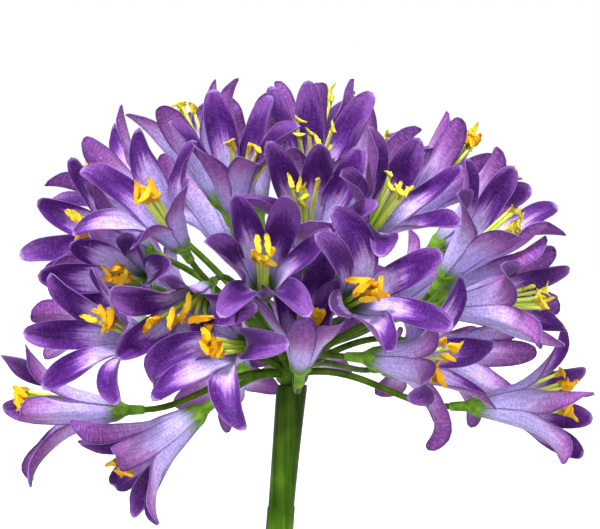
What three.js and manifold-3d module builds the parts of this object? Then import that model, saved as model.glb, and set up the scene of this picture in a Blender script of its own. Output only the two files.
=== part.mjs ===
// A potted agapanthus (African lily): one round head of long-petalled violet florets on a thick green scape,
// with strap leaves, growing in a plain round clay pot. Sizes are in millimetres, +Z is up, the origin is the
// centre of the pot's underside, and the head is seen from the front by looking along +Y.
import * as THREE from "three";
import { mergeVertices } from "three/addons/utils/BufferGeometryUtils.js";
import Module from "manifold-3d";

const wasm = await Module();
wasm.setup();

// Driving dimensions
const GAP = 0.35; // between two pieces that touch

const POT = {
  height: 130,
  baseRadius: 52,
  bandBottomRadius: 69,
  bandRadius: 74,
  bandHeight: 26,
  wall: 6,
  floor: 7,
  sides: 30,
};
const SOIL = { edge: 112, top: 117, sides: 30 };

const SCAPE = {
  foot: 66, // height of its cut foot, inside the soil
  length: 250, // from the soil to the hub
  lean: 12, // how far the hub stands to the right of the pot's axis
  footRadius: 5.6,
  jointBelowHub: 42,
  jointRadius: 4.75,
  neckRadius: 4.55,
  topRadius: 5.4,
  sides: 12,
  stations: 7,
  socketRadius: 3.6,
  socketDepth: 12,
};
const HUB = new THREE.Vector3(SCAPE.lean, 0, SOIL.top + SCAPE.length - 2);

const KNOB = { radius: 5.8, height: 8.5, plugRadius: SCAPE.socketRadius - GAP, sides: 10 };
const PEDICEL = { radius: 1, sides: 4, steps: 4, rootDepth: 2.2, lift: 0.32, startPull: 0.4, endPull: 0.35 };
const CALYX = { length: 9, tube: 6, footRadius: 1.25, tubeRadius: 1.75, rimRadius: 3.5, sides: 5 };
const STAMEN = { count: 3, length: 25, radius: 0.55, rootRadius: 0.8, spread: 7, anther: 4.4, antherRadius: 0.85 };
const PETAL = {
  count: 6,
  length: 41,
  lengthSpread: 2,
  throatRadius: 3.3,
  thickness: 0.9,
  throatAngle: 20, // of the fused funnel, off the floret's axis
  sinus: 0.3, // share of the length that is fused into the funnel
  stations: [0.6, 0.88],
  halfWidths: [4.9, 3.9],
  cups: [1.1, 0.4],
  curl: 1.3,
  flareSpread: 18,
  twistSpread: 25,
};

// The florets that face the front or make the outline: where each calyx holds its petals, measured from the hub
// in millimetres [right, back, up], the way the mouth looks, and how far the petals flare, in degrees. A floret
// that stands out also has the turn of its first petal round the mouth, and a flare, and some a twist, for each.
const FLORETS = [
  { seat: [63, -4, -7], aim: [1, -0.1, 0.02], roll: 40, flares: [15, 78, 25, 80, 30, 15],
    twists: [20, 50, 75, 10, -45, -10] },
  { seat: [26, -41, 11], aim: [0.93, -0.33, -0.05], roll: 20, flares: [25, 105, 115, 125, 112, 30],
    twists: [-30, 0, 0, 0, 60, 40] },
  { seat: [51, -24, 27], aim: [0.95, -0.28, 0.1], roll: 35, flares: [20, 45, 105, 65, 25, 70] },
  { seat: [52, -18, 38], aim: [0.56, -0.45, 0.69], roll: 50, flares: [15, 35, 55, 45, 80, 40] },
  { seat: [39, 9, 57], aim: [0.7, -0.05, 0.7], flare: 18 },
  { seat: [50, -4, 48], aim: [0.82, -0.12, 0.56], roll: 20, flares: [20, 25, 45, 30, 15, 25] },
  { seat: [23, -40, 49], aim: [0.38, -0.73, 0.56], roll: 0, flares: [30, 20, 22, 58, 95, 45] },
  { seat: [18, -54, 29], aim: [0.3, -0.9, 0.2], roll: 25, flares: [30, 20, 60, 35, 50, 60] },
  { seat: [-9, -52, 33], aim: [0.02, -0.88, 0.42], roll: 0, flares: [50, 15, 20, 25, 70, 70],
    twists: [5, -5, 5, -5, 5, -5] },
  { seat: [-28, -44, 33], aim: [-0.3, -0.87, -0.38], roll: 20, flares: [105, 45, 50, 20, 45, 95] },
  { seat: [-14, -54, 15], aim: [-0.46, -0.88, 0.1], roll: 0, flares: [100, 35, 30, 30, 30, 110] },
  { seat: [3, -39, 8], aim: [0.08, -0.68, 0.73], flare: 25 },
  { seat: [-31, -25, -8], aim: [-0.82, -0.1, -0.57], roll: 15, flares: [75, 50, 30, 45, 20, 80] },
  { seat: [-59, -10, -8], aim: [-0.97, -0.24, 0], roll: 0, flares: [40, 70, 45, 40, 85, 75] },
  { seat: [-49, -29, 17], aim: [-0.58, -0.8, 0.12], roll: 5, flares: [45, 50, 50, 50, 45, 80] },
  { seat: [-50, -2, 46], aim: [-0.74, -0.6, 0.3], flare: 32 },
  { seat: [-37, -27, 48], aim: [-0.36, -0.72, 0.6], roll: 45, flares: [45, 20, 80, 75, 80, 50] },
  { seat: [-46, 10, 57], aim: [-0.76, 0.05, 0.65], flare: 35 },
  { seat: [-24, -4, 63], aim: [-0.38, 0, 0.92], flare: 30 },
  { seat: [-12, 14, 61], aim: [-0.16, 0.2, 0.96], flare: 32 },
  { seat: [-19, -25, 59], aim: [0, -0.6, 0.75], flare: 50 },
  { seat: [5, 5, 66], aim: [0.05, 0.1, 0.98], flare: 30 },
  { seat: [6, -20, 62], aim: [0.05, -0.6, 0.78], flare: 42 },
  { seat: [16, 2, 59], aim: [0.45, 0.1, 0.84], flare: 35 },
  { seat: [4, -42, 48], aim: [0.08, -0.85, 0.5], flare: 50 },
  { seat: [-50, -18, 35], aim: [-0.3, -0.94, 0.12], flare: 45 },
  { seat: [52, 9, 31], aim: [0.93, 0.1, 0.35], flare: 35 },
  { seat: [45, 15, 13], aim: [0.75, 0.4, -0.2], flare: 40 },
];
const BACK = { reach: 60, reachSpread: 4, candidates: 64, lowest: -2, apart: 20, flare: 62, behind: 0.15 };

const LEAVES = { count: 9, turn: 40, firstTurn: 15, turnSpread: 8, buried: 24 };
const INNER_LEAF = { foot: 15, length: 235, width: 19, startTilt: 5, endTilt: 100, bend: 1.7 };
const OUTER_LEAF = { foot: 26, length: 205, width: 21, startTilt: 10, endTilt: 122, bend: 1.3 };
const LEAF = { thickness: 1.8, footWidth: 11, keel: 1.6, stations: [0, 0.2, 0.4, 0.6, 0.8, 0.93] };

const COLOURS = {
  petal: { color: 0x6a37a4, roughness: 0.75, metalness: 0 },
  green: { color: 0x5f8a2c, roughness: 0.45, metalness: 0 },
  scape: { color: 0x3f7420, roughness: 0.4, metalness: 0 },
  leaf: { color: 0x3f6b2a, roughness: 0.5, metalness: 0 },
  clay: { color: 0xb5694a, roughness: 0.9, metalness: 0 },
  soil: { color: 0x3a2a20, roughness: 1, metalness: 0 },
};

const UP = new THREE.Vector3(0, 0, 1);
const radians = THREE.MathUtils.degToRad;

// A seeded draw, from 0 to 1, the same each run
function draws(seed) {
  let state = seed;
  return () => {
    state = (state * 16807) % 2147483647;
    return state / 2147483647;
  };
}

// Solids and meshes

function solidFrom(points, triangles) {
  const solid = new wasm.Manifold(
    new wasm.Mesh({
      numProp: 3,
      vertProperties: new Float32Array(points.flatMap((p) => [p.x, p.y, p.z])),
      triVerts: new Uint32Array(triangles),
    }),
  );
  if (solid.volume() > 0) return solid;
  const turned = [];
  for (let i = 0; i < triangles.length; i += 3) turned.push(triangles[i], triangles[i + 2], triangles[i + 1]);
  return solidFrom(points, turned);
}

function solidOfGeometry(geometry) {
  const bare = new THREE.BufferGeometry().setAttribute("position", geometry.getAttribute("position"));
  if (geometry.index) bare.setIndex(geometry.index);
  const merged = mergeVertices(bare.index ? bare.toNonIndexed() : bare, 1e-3);
  const at = merged.attributes.position;
  const points = Array.from({ length: at.count }, (_, i) => new THREE.Vector3().fromBufferAttribute(at, i));
  return solidFrom(points, Array.from(merged.index.array));
}

// Lofts a closed tube through loops of equally many points, with flat caps or a point at either end
function loft(loops) {
  const points = loops.flat();
  const starts = [];
  let start = 0;
  for (const loop of loops) {
    starts.push(start);
    start += loop.length;
  }
  const faces = [];
  for (let j = 0; j + 1 < loops.length; j++) {
    const [a, b] = [loops[j].length, loops[j + 1].length];
    for (let i = 0; i < Math.max(a, b); i++) {
      const next = (i + 1) % Math.max(a, b);
      const [p, q] = [starts[j] + (a > 1 ? i : 0), starts[j] + (a > 1 ? next : 0)];
      const [r, s] = [starts[j + 1] + (b > 1 ? next : 0), starts[j + 1] + (b > 1 ? i : 0)];
      if (a > 1) faces.push(p, q, r);
      if (b > 1) faces.push(p, r, s);
    }
  }
  const cap = (from, count, turned) => {
    for (let i = 1; i + 1 < count; i++) {
      faces.push(from, from + (turned ? i + 1 : i), from + (turned ? i : i + 1));
    }
  };
  cap(starts[0], loops[0].length, true);
  cap(starts[starts.length - 1], loops[loops.length - 1].length, false);
  return solidFrom(points, faces);
}

// Two directions square to an axis and to each other
function frameOf(axis) {
  const w = axis.clone().normalize();
  const helper = Math.abs(w.z) > 0.9 ? new THREE.Vector3(0, 1, 0) : UP;
  const u = helper.clone().cross(w).normalize();
  return { u, v: w.clone().cross(u), w };
}

function ringAt(centre, frame, radius, sides) {
  return Array.from({ length: sides }, (_, i) => {
    const angle = (2 * Math.PI * i) / sides;
    return centre
      .clone()
      .addScaledVector(frame.u, radius * Math.cos(angle))
      .addScaledVector(frame.v, radius * Math.sin(angle));
  });
}

function turnedProfile(profile, sides) {
  const points = profile.map(([r, z]) => new THREE.Vector2(r, z));
  return solidOfGeometry(new THREE.LatheGeometry(points, sides).rotateX(Math.PI / 2));
}

function meshOf(name, solid, colour) {
  const made = solid.getMesh();
  const at = new Float32Array(made.numVert * 3);
  for (let i = 0; i < made.numVert; i++) {
    at.set(made.vertProperties.subarray(i * made.numProp, i * made.numProp + 3), i * 3);
  }
  const geometry = new THREE.BufferGeometry()
    .setAttribute("position", new THREE.BufferAttribute(at, 3))
    .setIndex(new THREE.BufferAttribute(made.triVerts, 1));
  geometry.computeVertexNormals();
  const mesh = new THREE.Mesh(geometry, new THREE.MeshStandardMaterial(colour));
  mesh.name = name;
  return mesh;
}

// The pot: a tapered clay wall, a plain band round its mouth and a flat underside
function potSolid() {
  const { height, baseRadius, bandBottomRadius, bandRadius, bandHeight, wall, floor, sides } = POT;
  return turnedProfile(
    [
      [0, 0],
      [baseRadius, 0],
      [bandBottomRadius, height - bandHeight],
      [bandRadius, height - bandHeight + 1],
      [bandRadius + 1, height],
      [bandRadius + 1 - wall, height],
      [baseRadius - wall, floor],
      [0, floor],
    ],
    sides,
  );
}

function potInnerRadius(z) {
  const share = (z - POT.floor) / (POT.height - POT.floor);
  return THREE.MathUtils.lerp(POT.baseRadius - POT.wall, POT.bandRadius + 1 - POT.wall, share);
}

// The soil fills the pot to a little under the brim, and has a plain hole for each stem and leaf
function soilSolid(holes) {
  const body = turnedProfile(
    [
      [0, POT.floor + GAP],
      [potInnerRadius(POT.floor) - 2 * GAP, POT.floor + GAP],
      [potInnerRadius(SOIL.edge) - 2 * GAP, SOIL.edge],
      [30, SOIL.top],
      [0, SOIL.top],
    ],
    SOIL.sides,
  );
  return holes.reduce((left, hole) => left.subtract(hole), body);
}

// The scape: a thick stem that leans a little as it rises, in two lengths that meet at a joint under the head
function scapeCentre(z) {
  const share = Math.max(0, (z - SOIL.top) / (HUB.z - SOIL.top));
  return new THREE.Vector3(SCAPE.lean * share * share, 0, z);
}

const scapeTopAxis = new THREE.Vector3((2 * SCAPE.lean) / (HUB.z - SOIL.top), 0, 1).normalize();

function scapeSolid(grow) {
  const joint = HUB.z - SCAPE.jointBelowHub;
  const rings = [[SCAPE.foot - grow, SCAPE.footRadius]];
  for (let i = 0; i < SCAPE.stations; i++) {
    const share = i / (SCAPE.stations - 1);
    const z = THREE.MathUtils.lerp(SOIL.top, joint, share);
    rings.push([z, THREE.MathUtils.lerp(SCAPE.footRadius, SCAPE.jointRadius, share)]);
  }
  rings.push([joint + 0.6, SCAPE.neckRadius], [HUB.z, SCAPE.topRadius]);
  const loops = rings.map(([z, radius], i) => {
    const slope = (2 * SCAPE.lean * Math.max(0, z - SOIL.top)) / (HUB.z - SOIL.top) ** 2;
    const frame = frameOf(i ? new THREE.Vector3(slope, 0, 1) : UP);
    return ringAt(scapeCentre(z), frame, radius + grow, SCAPE.sides);
  });
  const stem = loft(loops);
  if (grow) return stem;
  const frame = frameOf(scapeTopAxis);
  const socket = loft([
    ringAt(HUB.clone().addScaledVector(scapeTopAxis, -SCAPE.socketDepth), frame, SCAPE.socketRadius, 10),
    ringAt(HUB.clone().addScaledVector(scapeTopAxis, 2), frame, SCAPE.socketRadius, 10),
  ]);
  return stem.subtract(socket);
}

// Strap leaves: each leans out from its foot and bends over by a rule, with a keel along its back
function leafPath(leaf, t) {
  const steps = 40;
  let [out, up] = [leaf.foot, 0];
  for (let i = 0; i < steps * t - 1e-9; i++) {
    const tilt = radians(leaf.startTilt + (leaf.endTilt - leaf.startTilt) * ((i + 0.5) / steps) ** leaf.bend);
    out += (Math.sin(tilt) * leaf.length) / steps;
    up += (Math.cos(tilt) * leaf.length) / steps;
  }
  return [out, up, radians(leaf.startTilt + (leaf.endTilt - leaf.startTilt) * t ** leaf.bend)];
}

function leafHalfWidth(leaf, t) {
  const grown = THREE.MathUtils.lerp(LEAF.footWidth, leaf.width, Math.min(1, t / 0.35));
  const tip = t > 0.6 ? Math.sqrt(Math.max(0, 1 - ((t - 0.6) / 0.4) ** 2.2)) : 1;
  return (grown * tip) / 2;
}

function leafSolid(leaf, turn, grow) {
  const outward = new THREE.Vector3(Math.cos(turn), Math.sin(turn), 0);
  const across = new THREE.Vector3(-Math.sin(turn), Math.cos(turn), 0);
  const section = (out, z, tilt, half, keel) => {
    const centre = outward.clone().multiplyScalar(out).setZ(z);
    const under = outward.clone().multiplyScalar(Math.cos(tilt)).addScaledVector(UP, -Math.sin(tilt));
    const thick = LEAF.thickness / 2 + grow;
    return [
      centre.clone().addScaledVector(across, -half - grow).addScaledVector(under, -keel),
      centre.clone().addScaledVector(under, thick),
      centre.clone().addScaledVector(across, half + grow).addScaledVector(under, -keel),
      centre.clone().addScaledVector(under, -thick),
    ];
  };
  const loops = [section(leaf.foot, SOIL.top - LEAVES.buried - grow, 0, LEAF.footWidth / 2, 0.4)];
  for (const t of LEAF.stations) {
    const [out, up, tilt] = leafPath(leaf, t);
    const half = leafHalfWidth(leaf, t);
    loops.push(section(out, SOIL.top + up, tilt, half, t ? (LEAF.keel * half * 2) / leaf.width : 0.4));
  }
  const [out, up] = leafPath(leaf, 1);
  loops.push([outward.clone().multiplyScalar(out).setZ(SOIL.top + up)]);
  return loft(loops);
}

// The florets' places: the listed ones, then as many behind them as fit, on a spiral over the dome
function placeFlorets() {
  const placed = FLORETS.map((floret) => ({
    ...floret,
    seat: new THREE.Vector3(...floret.seat),
    aim: new THREE.Vector3(...floret.aim).normalize(),
  }));
  const draw = draws(4177);
  for (let i = 0; i < BACK.candidates; i++) {
    const rise = Math.asin(1 - (i / BACK.candidates) * (1 - Math.sin(radians(BACK.lowest))));
    const turn = radians(137.508 * i);
    const way = new THREE.Vector3(Math.cos(turn) * Math.cos(rise), Math.sin(turn) * Math.cos(rise), Math.sin(rise));
    const free = placed.every((p) => p.seat.angleTo(way) > radians(BACK.apart));
    if (!free || way.y < BACK.behind) continue;
    const reach = BACK.reach + (draw() - 0.5) * 2 * BACK.reachSpread;
    placed.push({ seat: way.clone().multiplyScalar(reach), aim: way, flare: BACK.flare });
  }
  return placed.map((p, i) => ({
    ...p,
    seat: p.seat.add(HUB),
    frame: frameOf(p.aim),
    draw: draws(911 + 137 * i),
  }));
}

// The green spray: a knob that plugs into the scape, one curved pedicel and calyx for each floret, and stamens
function knobSolid() {
  const { radius, height, plugRadius, sides } = KNOB;
  const made = turnedProfile(
    [
      [0, GAP - SCAPE.socketDepth],
      [plugRadius, GAP - SCAPE.socketDepth],
      [plugRadius, GAP],
      [radius - 1, GAP],
      [radius, 0.45 * height],
      [0.6 * radius, 0.9 * height],
      [0, height],
    ],
    sides,
  );
  const lean = new THREE.Quaternion().setFromUnitVectors(UP, scapeTopAxis);
  const place = new THREE.Matrix4().makeRotationFromQuaternion(lean).setPosition(HUB);
  return made.transform(place.elements);
}

function pedicelCurve({ seat, aim }) {
  const heart = HUB.clone().addScaledVector(UP, 0.45 * KNOB.height);
  const rootWay = seat.clone().sub(heart).normalize().addScaledVector(UP, PEDICEL.lift).normalize();
  const root = heart.clone().addScaledVector(rootWay, KNOB.radius - PEDICEL.rootDepth);
  const end = seat.clone().addScaledVector(aim, -CALYX.length);
  const span = root.distanceTo(end);
  return new THREE.CubicBezierCurve3(
    root,
    root.clone().addScaledVector(rootWay, PEDICEL.startPull * span),
    end.clone().addScaledVector(aim, -PEDICEL.endPull * span),
    end,
  );
}

function pedicelSolid(floret) {
  const curve = pedicelCurve(floret);
  const loops = [];
  for (let i = 0; i < PEDICEL.steps; i++) {
    const t = i / PEDICEL.steps;
    loops.push(ringAt(curve.getPoint(t), frameOf(curve.getTangent(t)), PEDICEL.radius, PEDICEL.sides));
  }
  const { seat, aim, frame } = floret;
  const calyxAt = (along) => seat.clone().addScaledVector(aim, along - CALYX.length);
  loops.push(ringAt(calyxAt(0.5), frame, PEDICEL.radius * 0.9, PEDICEL.sides));
  const calyx = loft([
    ringAt(calyxAt(0), frame, CALYX.footRadius, CALYX.sides),
    ringAt(calyxAt(CALYX.tube), frame, CALYX.tubeRadius, CALYX.sides),
    ringAt(calyxAt(CALYX.length - GAP), frame, CALYX.rimRadius, CALYX.sides),
  ]);
  return untwisted(loops).add(calyx);
}

// Each ring starts at the point nearest to where the ring before it starts, so that the tube isn't twisted
function untwisted(loops) {
  for (let j = 1; j < loops.length; j++) {
    const before = loops[j - 1][0].clone().sub(centreOf(loops[j - 1]));
    const centre = centreOf(loops[j]);
    const near = loops[j].map((p) => p.clone().sub(centre).angleTo(before));
    const first = near.indexOf(Math.min(...near));
    loops[j] = [...loops[j].slice(first), ...loops[j].slice(0, first)];
  }
  return loft(loops);
}

function centreOf(loop) {
  return loop.reduce((sum, p) => sum.add(p), new THREE.Vector3()).divideScalar(loop.length);
}

function stamenSolids({ seat, aim, frame, draw }) {
  const made = [];
  for (let i = 0; i < STAMEN.count; i++) {
    const angle = (2 * Math.PI * (i + 0.6 * draw())) / STAMEN.count;
    const side = frame.u.clone().multiplyScalar(Math.cos(angle)).addScaledVector(frame.v, Math.sin(angle));
    const foot = seat.clone().addScaledVector(aim, -1.2).addScaledVector(side, STAMEN.rootRadius);
    const reach = STAMEN.length * (0.85 + 0.3 * draw());
    const spread = STAMEN.spread * (0.5 + 0.6 * draw());
    const head = seat.clone().addScaledVector(aim, reach).addScaledVector(side, spread);
    const along = frameOf(head.clone().sub(foot));
    const thin = STAMEN.radius;
    const filament = loft([ringAt(foot, along, thin, 3), ringAt(head, along, thin * 0.8, 3)]);
    const lie = side.clone().cross(aim).addScaledVector(side, draw() - 0.5).normalize();
    const tips = [-1, 1].map((s) => [head.clone().addScaledVector(lie, (s * STAMEN.anther) / 2)]);
    const anther = loft([tips[0], ringAt(head, frameOf(lie), STAMEN.antherRadius, 3), tips[1]]);
    made.push(filament.add(anther));
  }
  return made;
}

// A petal's centreline leaves the throat at the funnel's angle and then curls out to its flare
function petalPoint(petal, t) {
  const { length, flare } = petal;
  const [low, fused] = [radians(PETAL.throatAngle), PETAL.sinus];
  const funnel = Math.min(t, fused) * length;
  let [out, along, angle] = [
    PETAL.throatRadius + funnel * Math.sin(low),
    funnel * Math.cos(low),
    low,
  ];
  const steps = 24;
  const span = (1 - fused) / steps;
  for (let i = 0; fused + i * span < t - 1e-9; i++) {
    angle = low + (radians(flare) - low) * ((i + 0.5) / steps) ** PETAL.curl;
    out += span * length * Math.sin(angle);
    along += span * length * Math.cos(angle);
  }
  return { out, along, angle };
}

// One cross-section of a petal: left edge, back, right edge, front
function petalSection(floret, petal, t, half, cup, thick) {
  const { seat, frame } = floret;
  const { out, along, angle } = petalPoint(petal, t);
  const share = Math.max(0, (t - PETAL.sinus) / (1 - PETAL.sinus));
  const turn = petal.turn + radians(petal.side) * share;
  const radial = frame.u.clone().multiplyScalar(Math.cos(turn)).addScaledVector(frame.v, Math.sin(turn));
  const side = frame.w.clone().cross(radial);
  const outer = radial.clone().multiplyScalar(Math.cos(angle)).addScaledVector(frame.w, -Math.sin(angle));
  const twist = radians(petal.twist) * share;
  const across = side.clone().multiplyScalar(Math.cos(twist)).addScaledVector(outer, Math.sin(twist));
  const back = outer.clone().multiplyScalar(Math.cos(twist)).addScaledVector(side, -Math.sin(twist));
  const centre = seat.clone().addScaledVector(radial, out).addScaledVector(frame.w, along);
  return [
    centre.clone().addScaledVector(across, -half).addScaledVector(back, -cup),
    centre.clone().addScaledVector(back, thick / 2),
    centre.clone().addScaledVector(across, half).addScaledVector(back, -cup),
    centre.clone().addScaledVector(back, -thick / 2),
  ];
}

function petalTip(floret, petal) {
  return [centreOf(petalSection(floret, petal, 1, 0, 0, 0))];
}

// The free blade of a petal with room round it, to test whether it is clear of its neighbours
function petalBlade(floret, petal, room) {
  const sinusHalf = 3.2;
  const loops = [petalSection(floret, petal, PETAL.sinus, sinusHalf + room, 0.3, PETAL.thickness + 2 * room)];
  PETAL.stations.forEach((t, i) => {
    const half = PETAL.halfWidths[i] + room;
    loops.push(petalSection(floret, petal, t, half, PETAL.cups[i], PETAL.thickness + 2 * room));
  });
  const tip = { ...petal, length: petal.length + room };
  loops.push(petalTip(floret, tip));
  return loft(loops);
}

function funnelSolid({ seat, aim, frame }) {
  const top = petalPoint({ length: PETAL.length, flare: 0 }, PETAL.sinus);
  return loft([
    ringAt(seat, frame, PETAL.throatRadius + GAP, 12),
    ringAt(seat.clone().addScaledVector(aim, top.along), frame, top.out + GAP, 12),
  ]);
}

// Six petals fused into a funnel round the throat, as one shell
function bloomSolid(floret, petals) {
  const { seat, frame } = floret;
  const ring = (out, along) =>
    Array.from({ length: 12 }, (_, j) => {
      const turn = petals[0].turn + radians(30 * (j - 1));
      const reach = j % 2 ? out : out * 0.97;
      return seat
        .clone()
        .addScaledVector(frame.u, reach * Math.cos(turn))
        .addScaledVector(frame.v, reach * Math.sin(turn))
        .addScaledVector(frame.w, along);
    });
  const top = petalPoint({ length: PETAL.length, flare: 0 }, PETAL.sinus);
  const [bottomOut, bottomIn] = [ring(PETAL.throatRadius, 0), ring(PETAL.throatRadius - PETAL.thickness, 0)];
  const [topOut, topIn] = [ring(top.out, top.along), ring(top.out - PETAL.thickness, top.along)];
  const points = [...bottomOut, ...bottomIn, ...topOut, ...topIn];
  const [bo, bi, to, ti] = [0, 12, 24, 36];
  const faces = [];
  const quad = (a, b, c, d) => faces.push(a, b, c, a, c, d);
  for (let j = 0; j < 12; j++) {
    const n = (j + 1) % 12;
    quad(to + n, to + j, bo + j, bo + n);
    quad(ti + j, ti + n, bi + n, bi + j);
    quad(bo + n, bo + j, bi + j, bi + n);
  }
  petals.forEach((petal, k) => {
    const [left, mid, right] = [2 * k, 2 * k + 1, (2 * k + 2) % 12];
    const start = points.length;
    PETAL.stations.forEach((t, i) => {
      points.push(...petalSection(floret, petal, t, PETAL.halfWidths[i], PETAL.cups[i], PETAL.thickness));
    });
    points.push(...petalTip(floret, petal));
    quad(to + left, to + mid, start + 1, start);
    quad(to + mid, to + right, start + 2, start + 1);
    faces.push(to + right, ti + right, start + 2);
    quad(ti + right, ti + mid, start + 3, start + 2);
    quad(ti + mid, ti + left, start, start + 3);
    faces.push(ti + left, to + left, start);
    for (let i = 0; i < 4; i++) {
      const n = (i + 1) % 4;
      quad(start + i, start + n, start + 4 + n, start + 4 + i);
      faces.push(start + 4 + i, start + 4 + n, start + 8);
    }
  });
  return solidFrom(points, faces);
}

function boxesMeet(a, b) {
  const [p, q] = [a.boundingBox(), b.boundingBox()];
  return [0, 1, 2].every((i) => p.min[i] < q.max[i] && q.min[i] < p.max[i]);
}

function crosses(a, b) {
  return boxesMeet(a, b) && a.intersect(b).volume() > 1e-4;
}

// The ways a petal may be bent, nearest to its own flare first
function bends(flare) {
  const tried = [];
  for (let off = -80; off <= 80; off += 10) {
    for (const side of [0, 8, -8, 16, -16, 24, -24, 32, -32]) {
      const bent = flare + off;
      if (bent >= 10 && bent <= 130) tried.push({ flare: bent, side, cost: Math.abs(off) + 1.4 * Math.abs(side) });
    }
  }
  return tried.sort((a, b) => a.cost - b.cost);
}

// Bends each petal clear of the green spray, of the other funnels and of the petals placed before it
function openFlorets(florets, green) {
  const funnels = florets.map(funnelSolid);
  const blades = [];
  const opened = [];
  florets.forEach((floret, index) => {
    const drawnRoll = 60 * floret.draw();
    const roll = radians(floret.roll ?? drawnRoll);
    const petals = [];
    for (let k = 0; k < PETAL.count; k++) {
      const length = PETAL.length + (floret.draw() - 0.5) * 2 * PETAL.lengthSpread;
      const drawnFlare = floret.flare + (floret.draw() - 0.5) * 2 * PETAL.flareSpread;
      const drawnTwist = (floret.draw() - 0.5) * 2 * PETAL.twistSpread;
      const flare = floret.flares?.[k] ?? drawnFlare;
      const twist = floret.twists?.[k] ?? drawnTwist;
      const turn = roll + radians(60 * k);
      let chosen;
      for (const share of [1, 0.88, 0.76, 0.64, 0.52]) {
        for (const bend of bends(flare)) {
          const petal = { turn, twist, length: length * share, flare: bend.flare, side: bend.side };
          const blade = petalBlade(floret, petal, GAP);
          const near = [green, ...funnels.filter((_, i) => i !== index), ...blades];
          if (near.some((other) => crosses(blade, other))) continue;
          chosen = petal;
          break;
        }
        if (chosen) break;
      }
      if (!chosen) {
        chosen = { turn, twist: 0, length: length * 0.52, flare, side: 0 };
        console.log("floret", index + 1, "petal", k + 1, "has no clear way");
      }
      petals.push(chosen);
      blades.push(petalBlade(floret, chosen, 0));
    }
    opened.push(bloomSolid(floret, petals));
  });
  return opened;
}

const group = new THREE.Group();
group.name = "potted_agapanthus";

const scape = scapeSolid(0);
const leafDraw = draws(2029);
const leafSolids = [];
const leafHoles = [];
for (let i = 0; i < LEAVES.count; i++) {
  const kind = i % 2 ? INNER_LEAF : OUTER_LEAF;
  const leaf = { ...kind, length: kind.length * (0.9 + 0.2 * leafDraw()) };
  const turn = radians(LEAVES.firstTurn + LEAVES.turn * i + (leafDraw() - 0.5) * 2 * LEAVES.turnSpread);
  leafSolids.push(leafSolid(leaf, turn, 0));
  leafHoles.push(leafSolid(leaf, turn, GAP));
}

const florets = placeFlorets();
const greenParts = [knobSolid(), ...florets.map(pedicelSolid), ...florets.flatMap(stamenSolids)];
const spray = wasm.Manifold.union(greenParts);
const blooms = openFlorets(florets, spray);

group.add(meshOf("pot", potSolid(), COLOURS.clay));
group.add(meshOf("soil", soilSolid([scapeSolid(GAP), ...leafHoles]), COLOURS.soil));
group.add(meshOf("scape", scape, COLOURS.scape));
group.add(meshOf("pedicel_spray", spray, COLOURS.green));
leafSolids.forEach((solid, i) => group.add(meshOf(`leaf_${i + 1}`, solid, COLOURS.leaf)));
blooms.forEach((solid, i) => {
  group.add(meshOf(`bloom_${String(i + 1).padStart(2, "0")}`, solid, COLOURS.petal));
});

export default group;
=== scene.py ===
# %% [markdown]
# # A potted agapanthus in Blender
#
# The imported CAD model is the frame: it says where every stem, leaf and petal goes. This lesson dresses that
# frame. Each piece is modelled once by hand-like steps, copied to its places, and given a finish that starts
# from what the real one is made of: an artificial flower of printed fabric and moulded plastic in a clay pot.

# %% Load the frame
import math
import random

import bmesh
import bpy
import numpy as np
from mathutils import Matrix, Vector


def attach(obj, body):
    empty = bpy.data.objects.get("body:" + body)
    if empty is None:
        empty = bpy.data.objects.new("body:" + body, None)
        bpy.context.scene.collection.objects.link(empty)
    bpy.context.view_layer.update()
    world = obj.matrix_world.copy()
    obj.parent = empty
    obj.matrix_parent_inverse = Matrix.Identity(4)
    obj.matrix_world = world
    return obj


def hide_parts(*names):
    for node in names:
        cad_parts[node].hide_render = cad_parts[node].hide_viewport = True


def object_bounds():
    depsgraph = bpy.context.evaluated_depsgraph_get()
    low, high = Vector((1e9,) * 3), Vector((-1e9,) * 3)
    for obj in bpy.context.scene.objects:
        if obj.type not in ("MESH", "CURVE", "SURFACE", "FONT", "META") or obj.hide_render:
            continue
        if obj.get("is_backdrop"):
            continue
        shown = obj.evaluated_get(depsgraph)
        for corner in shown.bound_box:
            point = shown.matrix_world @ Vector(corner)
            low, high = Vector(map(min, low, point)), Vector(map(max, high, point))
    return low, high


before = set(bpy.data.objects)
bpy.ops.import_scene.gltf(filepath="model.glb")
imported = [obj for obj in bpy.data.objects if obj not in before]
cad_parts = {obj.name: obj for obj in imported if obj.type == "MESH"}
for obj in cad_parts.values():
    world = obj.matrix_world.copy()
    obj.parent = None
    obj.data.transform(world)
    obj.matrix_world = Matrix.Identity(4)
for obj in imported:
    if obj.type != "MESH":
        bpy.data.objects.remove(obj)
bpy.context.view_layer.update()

MM = 0.001  # the frame is in metres, and the plant's sizes are in millimetres
bloom_names = sorted(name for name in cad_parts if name.startswith("bloom_"))
leaf_names = sorted(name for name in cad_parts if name.startswith("leaf_"))

# %% [markdown]
# ## Working by hand, in code
#
# An operator acts on everything that is selected, so each step first clears the selection. Points are then
# picked by their place: all those in one row of a grid, or in one ring of a tube. A finished piece has its
# place in its mesh, so its object sits at the origin.

# %% Selecting and finishing
def alone(piece):
    """Makes a piece the only selected one, and the active one."""
    bpy.ops.object.select_all(action="DESELECT")
    piece.select_set(True)
    bpy.context.view_layer.objects.active = piece
    return piece


def named(name):
    """Names the primitive that was just added."""
    piece = bpy.context.object
    piece.name = name
    piece.data.name = name
    return piece


def rows_of(piece, axis):
    """The points of a mesh in rows along an axis, lowest row first."""
    rows = {}
    for point in piece.data.vertices:
        rows.setdefault(round(point.co[axis], 6), []).append(point.index)
    return [rows[place] for place in sorted(rows)]


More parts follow.
